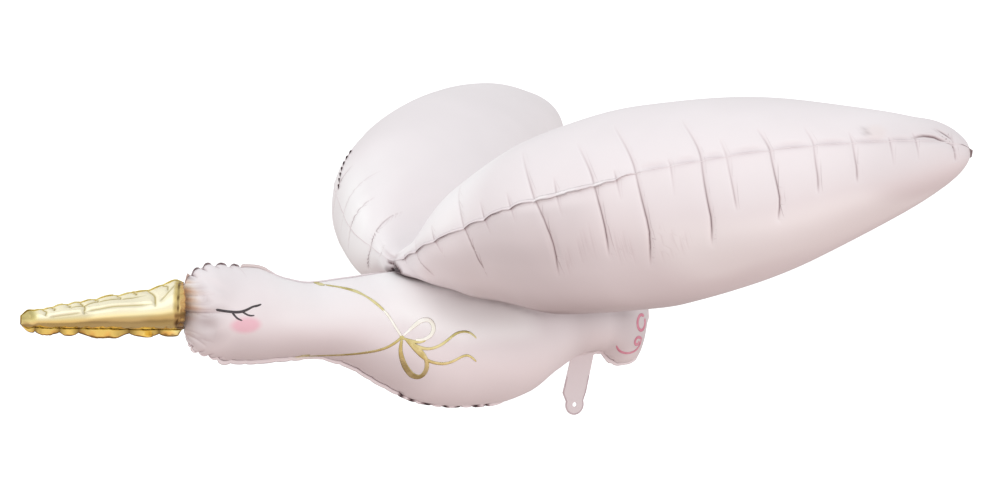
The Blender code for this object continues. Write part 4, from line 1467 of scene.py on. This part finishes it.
def shade_beak(skin, grid_share, grid_angle):
    """Painted shade, a warm tint that is mostly painted reflection, and painted highlight: the lower sheet,
    the rim by the head and the closed tip.
    """
    turn = np.where(grid_angle <= np.pi, grid_angle, 2 * np.pi - grid_angle) / np.pi
    rim_place = skin.base[..., 0] + VIEW_SLANT * np.abs(skin.base[..., 1])
    rim = between(rim_place, -0.603, -0.597)
    gap_edge = rim_place + 0.0035 * between(turn, 0.62, 0.75)
    upper_gap = between(gap_edge, -0.5935, -0.5915) * (1 - between(turn, 0.5, 0.6))
    # painted shade over the rim by the head, lighter at the top
    skin.mark("dusk", rim * (0.42 + 0.5 * between(turn, 0.42, 0.6))
              * (0.78 + 0.22 * np.sin(grid_angle * 14)) * (1 - 0.8 * upper_gap))
    # painted shade in the gap between rim and head, turning to a painted warm reflection where it meets the
    # head
    uneven = 0.55 + sum(0.42 * bell(turn - place, long) for place, long in (
        (0.16, 0.06), (0.36, 0.03), (0.5, 0.04), (0.72, 0.1), (0.9, 0.05)))
    at_head = between(gap_edge, -0.593, -0.591)
    skin.mark("dusk", uneven * between(gap_edge, -0.597, -0.5945) * (1 - 0.9 * at_head))
    skin.mark("warm", 0.6 * at_head)
    # painted shade on the lower sheet and in a band along it
    skin.mark("dusk", 0.24 * window(turn, 0.34, 0.42, 0.62, 0.74)
              * window(grid_share, 0.58, 0.66, 0.84, 0.9))
    band = np.interp(grid_share, (0.0, 0.2, 0.3, 0.5, 0.7, 0.88), (0.55, 0.545, 0.535, 0.555, 0.56, 0.47))
    skin.mark("dusk", (0.48 - 0.24 * between(grid_share, 0.54, 0.7))
              * between(turn, band - 0.03, band + 0.03) * (1 - between(turn, 0.62, 0.74)))
    # a warm tint on the rim, a painted reflection
    skin.mark("warm", 0.3 * rim)
    # painted highlight over the upper part, away from the rim and the tip
    skin.mark("pale", (1 - between(turn, 0.4, 0.62)) * (1 - 0.95 * rim)
              * (1 - between(grid_share, 0.91, 0.95)))
    # painted shade at the closed tip, with a painted warm reflection below
    skin.mark("dusk", 0.5 * between(grid_share, 0.925, 0.965) * (1 - 0.6 * between(turn, 0.42, 0.55)))
    skin.mark("warm", 0.25 * between(grid_share, 0.965, 0.985) * between(turn, 0.45, 0.6))


def make_beak():
    share = spread(BEAK_COLUMNS, lambda at: 1 + 0.5 * (1 - between(at, 0.05, 0.12)))
    grid_share, grid_angle = np.meshgrid(share, ring_angles(BEAK_ROWS), indexing="ij")
    skin = Skin(beak_skin(grid_share, grid_angle))
    press_beak(skin)
    skin.height *= (eased(share / 0.01) * eased((1 - share) / 0.01))[:, None]
    shade_beak(skin, grid_share, grid_angle)
    points = skin.formed()
    arc, _ = arcs((0.03, 0.13, 0.225, 0.42, 0.56, 0.655, 0.735, 0.83, 0.885, 0.985), share, 0.0022, 0.13)
    points[..., 2] += arc[:, None] * np.exp(-distance(skin.base, skin.base[:, :1]) / 0.008)
    foil = skin_object("beak_foil", skin, points)
    foil.data.materials.append(GOLD)

    # the weld lip, scalloped at the bottom
    outward = there_and_back(*seam_directions(
        skin, BEAK_ROWS, -1.0, between(share, 0.97, 1.0), 1 - between(share, 0.0, 0.03)))
    lobes = smooth_curve((0, 0.16, 0.35, 0.665, 0.785, 0.93, 1.0), (0, 1, 2, 3, 4, 5, 6))
    lobe = np.abs(np.sin(np.pi * lobes(share)))
    start = 0.2 + 0.8 * between(share, 0.0, 0.03)
    scallop = 0.55 + 0.45 * lobe ** 0.7 + 0.3 * window(share, 0.36, 0.44, 0.55, 0.64)
    wide_bottom = scallop * BEAK_LOWER_LIP / LIP_WIDTH * start * (1 - 0.8 * between(share, 0.93, 0.985))
    # the lip carries painted shade between the lobes and a painted orange glint (rim) on the lower lip
    lip = weld_lip("beak_lip", there_and_back(points[:, 0], points[:, BEAK_ROWS]), outward,
                   np.zeros_like(outward) + np.array([0, -1.0, 0]),
                   there_and_back(0.3 * start, wide_bottom), GOLD, (0.018, 0.018, 11.0),
                   {"wavy": there_and_back(0.4 + 0 * share, 1.6 + 0 * share),
                    "dusk": there_and_back(0.12 + 0 * share, 0.95 * (1 - lobe ** 0.75)),
                    "rim": there_and_back(0.15 + 0 * share, 0.9 * between(share, 0.05, 0.1))})
    return joined("beak_foil", [foil, lip])


# Put together

wings, lower_sheets = make_wings()
beak = make_beak()
body_skin_object, body_lip = make_body(lower_sheets)
prints = [printed_line(*row, side, body_skin_object) for row in PRINTS for side in (-1, 1)]
tab = filling_tab()
prints += [tab_seal(side, tab) for side in (-1, 1)]
body = joined("body_foil", [body_skin_object, body_lip, tab] + prints)
for piece, node, slot in ((body, "body", "pink_foil"), (beak, "beak", "gold_foil"),
                          (wings, "wings", "pink_foil")):
    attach(piece, "root")
    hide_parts(node)

# Studio

floor_mesh = bpy.data.meshes.new("floor")
ground = [(half * x, half * y, FLOOR_Z + rise)
          for half, rise in ((FLOOR_HALF, 0.0), (FLOOR_RIM_HALF, FLOOR_RIM_RISE))
          for x, y in ((-1, -1), (1, -1), (1, 1), (-1, 1))]
rims = [(k, 4 + k, 4 + (k + 1) % 4, (k + 1) % 4) for k in range(4)]
floor_mesh.from_pydata(ground, [], [(0, 1, 2, 3), *rims])
floor_mesh.materials.append(studio_floor())
floor = placed("floor", floor_mesh)
floor.visible_diffuse = floor.visible_glossy = floor.visible_shadow = False

TARGET = Vector((-0.11876, 0.0, 0.23402))
BACK = Vector((-0.468, -0.8802, 0.0792)).normalized()
camera_data = bpy.data.cameras.new("camera")
camera_data.lens, camera_data.sensor_width = CAMERA_LENS, 36.0
camera_data.clip_end = 20000.0
camera = placed("camera", camera_data)
camera.location = TARGET + BACK * CAMERA_DISTANCE
camera.rotation_euler = BACK.to_track_quat("Z", "Y").to_euler()
bpy.context.scene.camera = camera


# a softbox of even glow, 20 degrees towards the head from the left side and 40 degrees up
turn, rise = math.radians(-20), math.radians(40)
SOFTBOX_WAY = Vector((math.sin(turn) * math.cos(rise), -math.cos(turn) * math.cos(rise), math.sin(rise)))
SOFTBOX_SIZE, SOFTBOX_GLOW, SOFTBOX_DISTANCE = 2.2, 0.3, 3.2
lamp = bpy.data.lights.new("front_softbox", "AREA")
lamp.shape, lamp.size, lamp.size_y = "RECTANGLE", SOFTBOX_SIZE, SOFTBOX_SIZE
lamp.energy = SOFTBOX_GLOW * math.pi * SOFTBOX_SIZE ** 2
softbox = placed("front_softbox", lamp)
softbox.location = TARGET + SOFTBOX_WAY * SOFTBOX_DISTANCE
softbox.rotation_euler = SOFTBOX_WAY.to_track_quat("Z", "Y").to_euler()

world = bpy.data.worlds.new("studio")
bpy.context.scene.world = world
world.use_nodes = True
world.node_tree.nodes.clear()
sky = Wire(world.node_tree)
look = sky.node("ShaderNodeTexCoord", output="Generated")
tail_way, right_way, height = [sky.node("ShaderNodeSeparateXYZ", None, {0: look}, k) for k in range(3)]
left_way = -right_way
walls = (tail_way * -0.09 + left_way * 0.2 + height * 0.14 + 0.88
         - left_way * height * 0.24 - tail_way * height * 0.22
         + tail_way * right_way * (height - height.call("ABSOLUTE")) * 0.22)
strength = 0.44 + (walls - 0.44) * (height + left_way * 0.16 + tail_way * 0.12).rise(-0.8, -0.62)
tint = sky.tones(height.rise(-1.0, 0.0), (1.0, 0.74, 0.69, 1), (1.0, 0.99, 0.99, 1))
tint = sky.tones(height.rise(0.1, 0.8), tint, (0.955, 0.975, 0.985, 1))
glow = sky.node("ShaderNodeBackground", None, {"Color": tint, "Strength": strength})
sky.node("ShaderNodeOutputWorld", None, {"Surface": glow})
bpy.context.scene.view_settings.view_transform = "Standard"
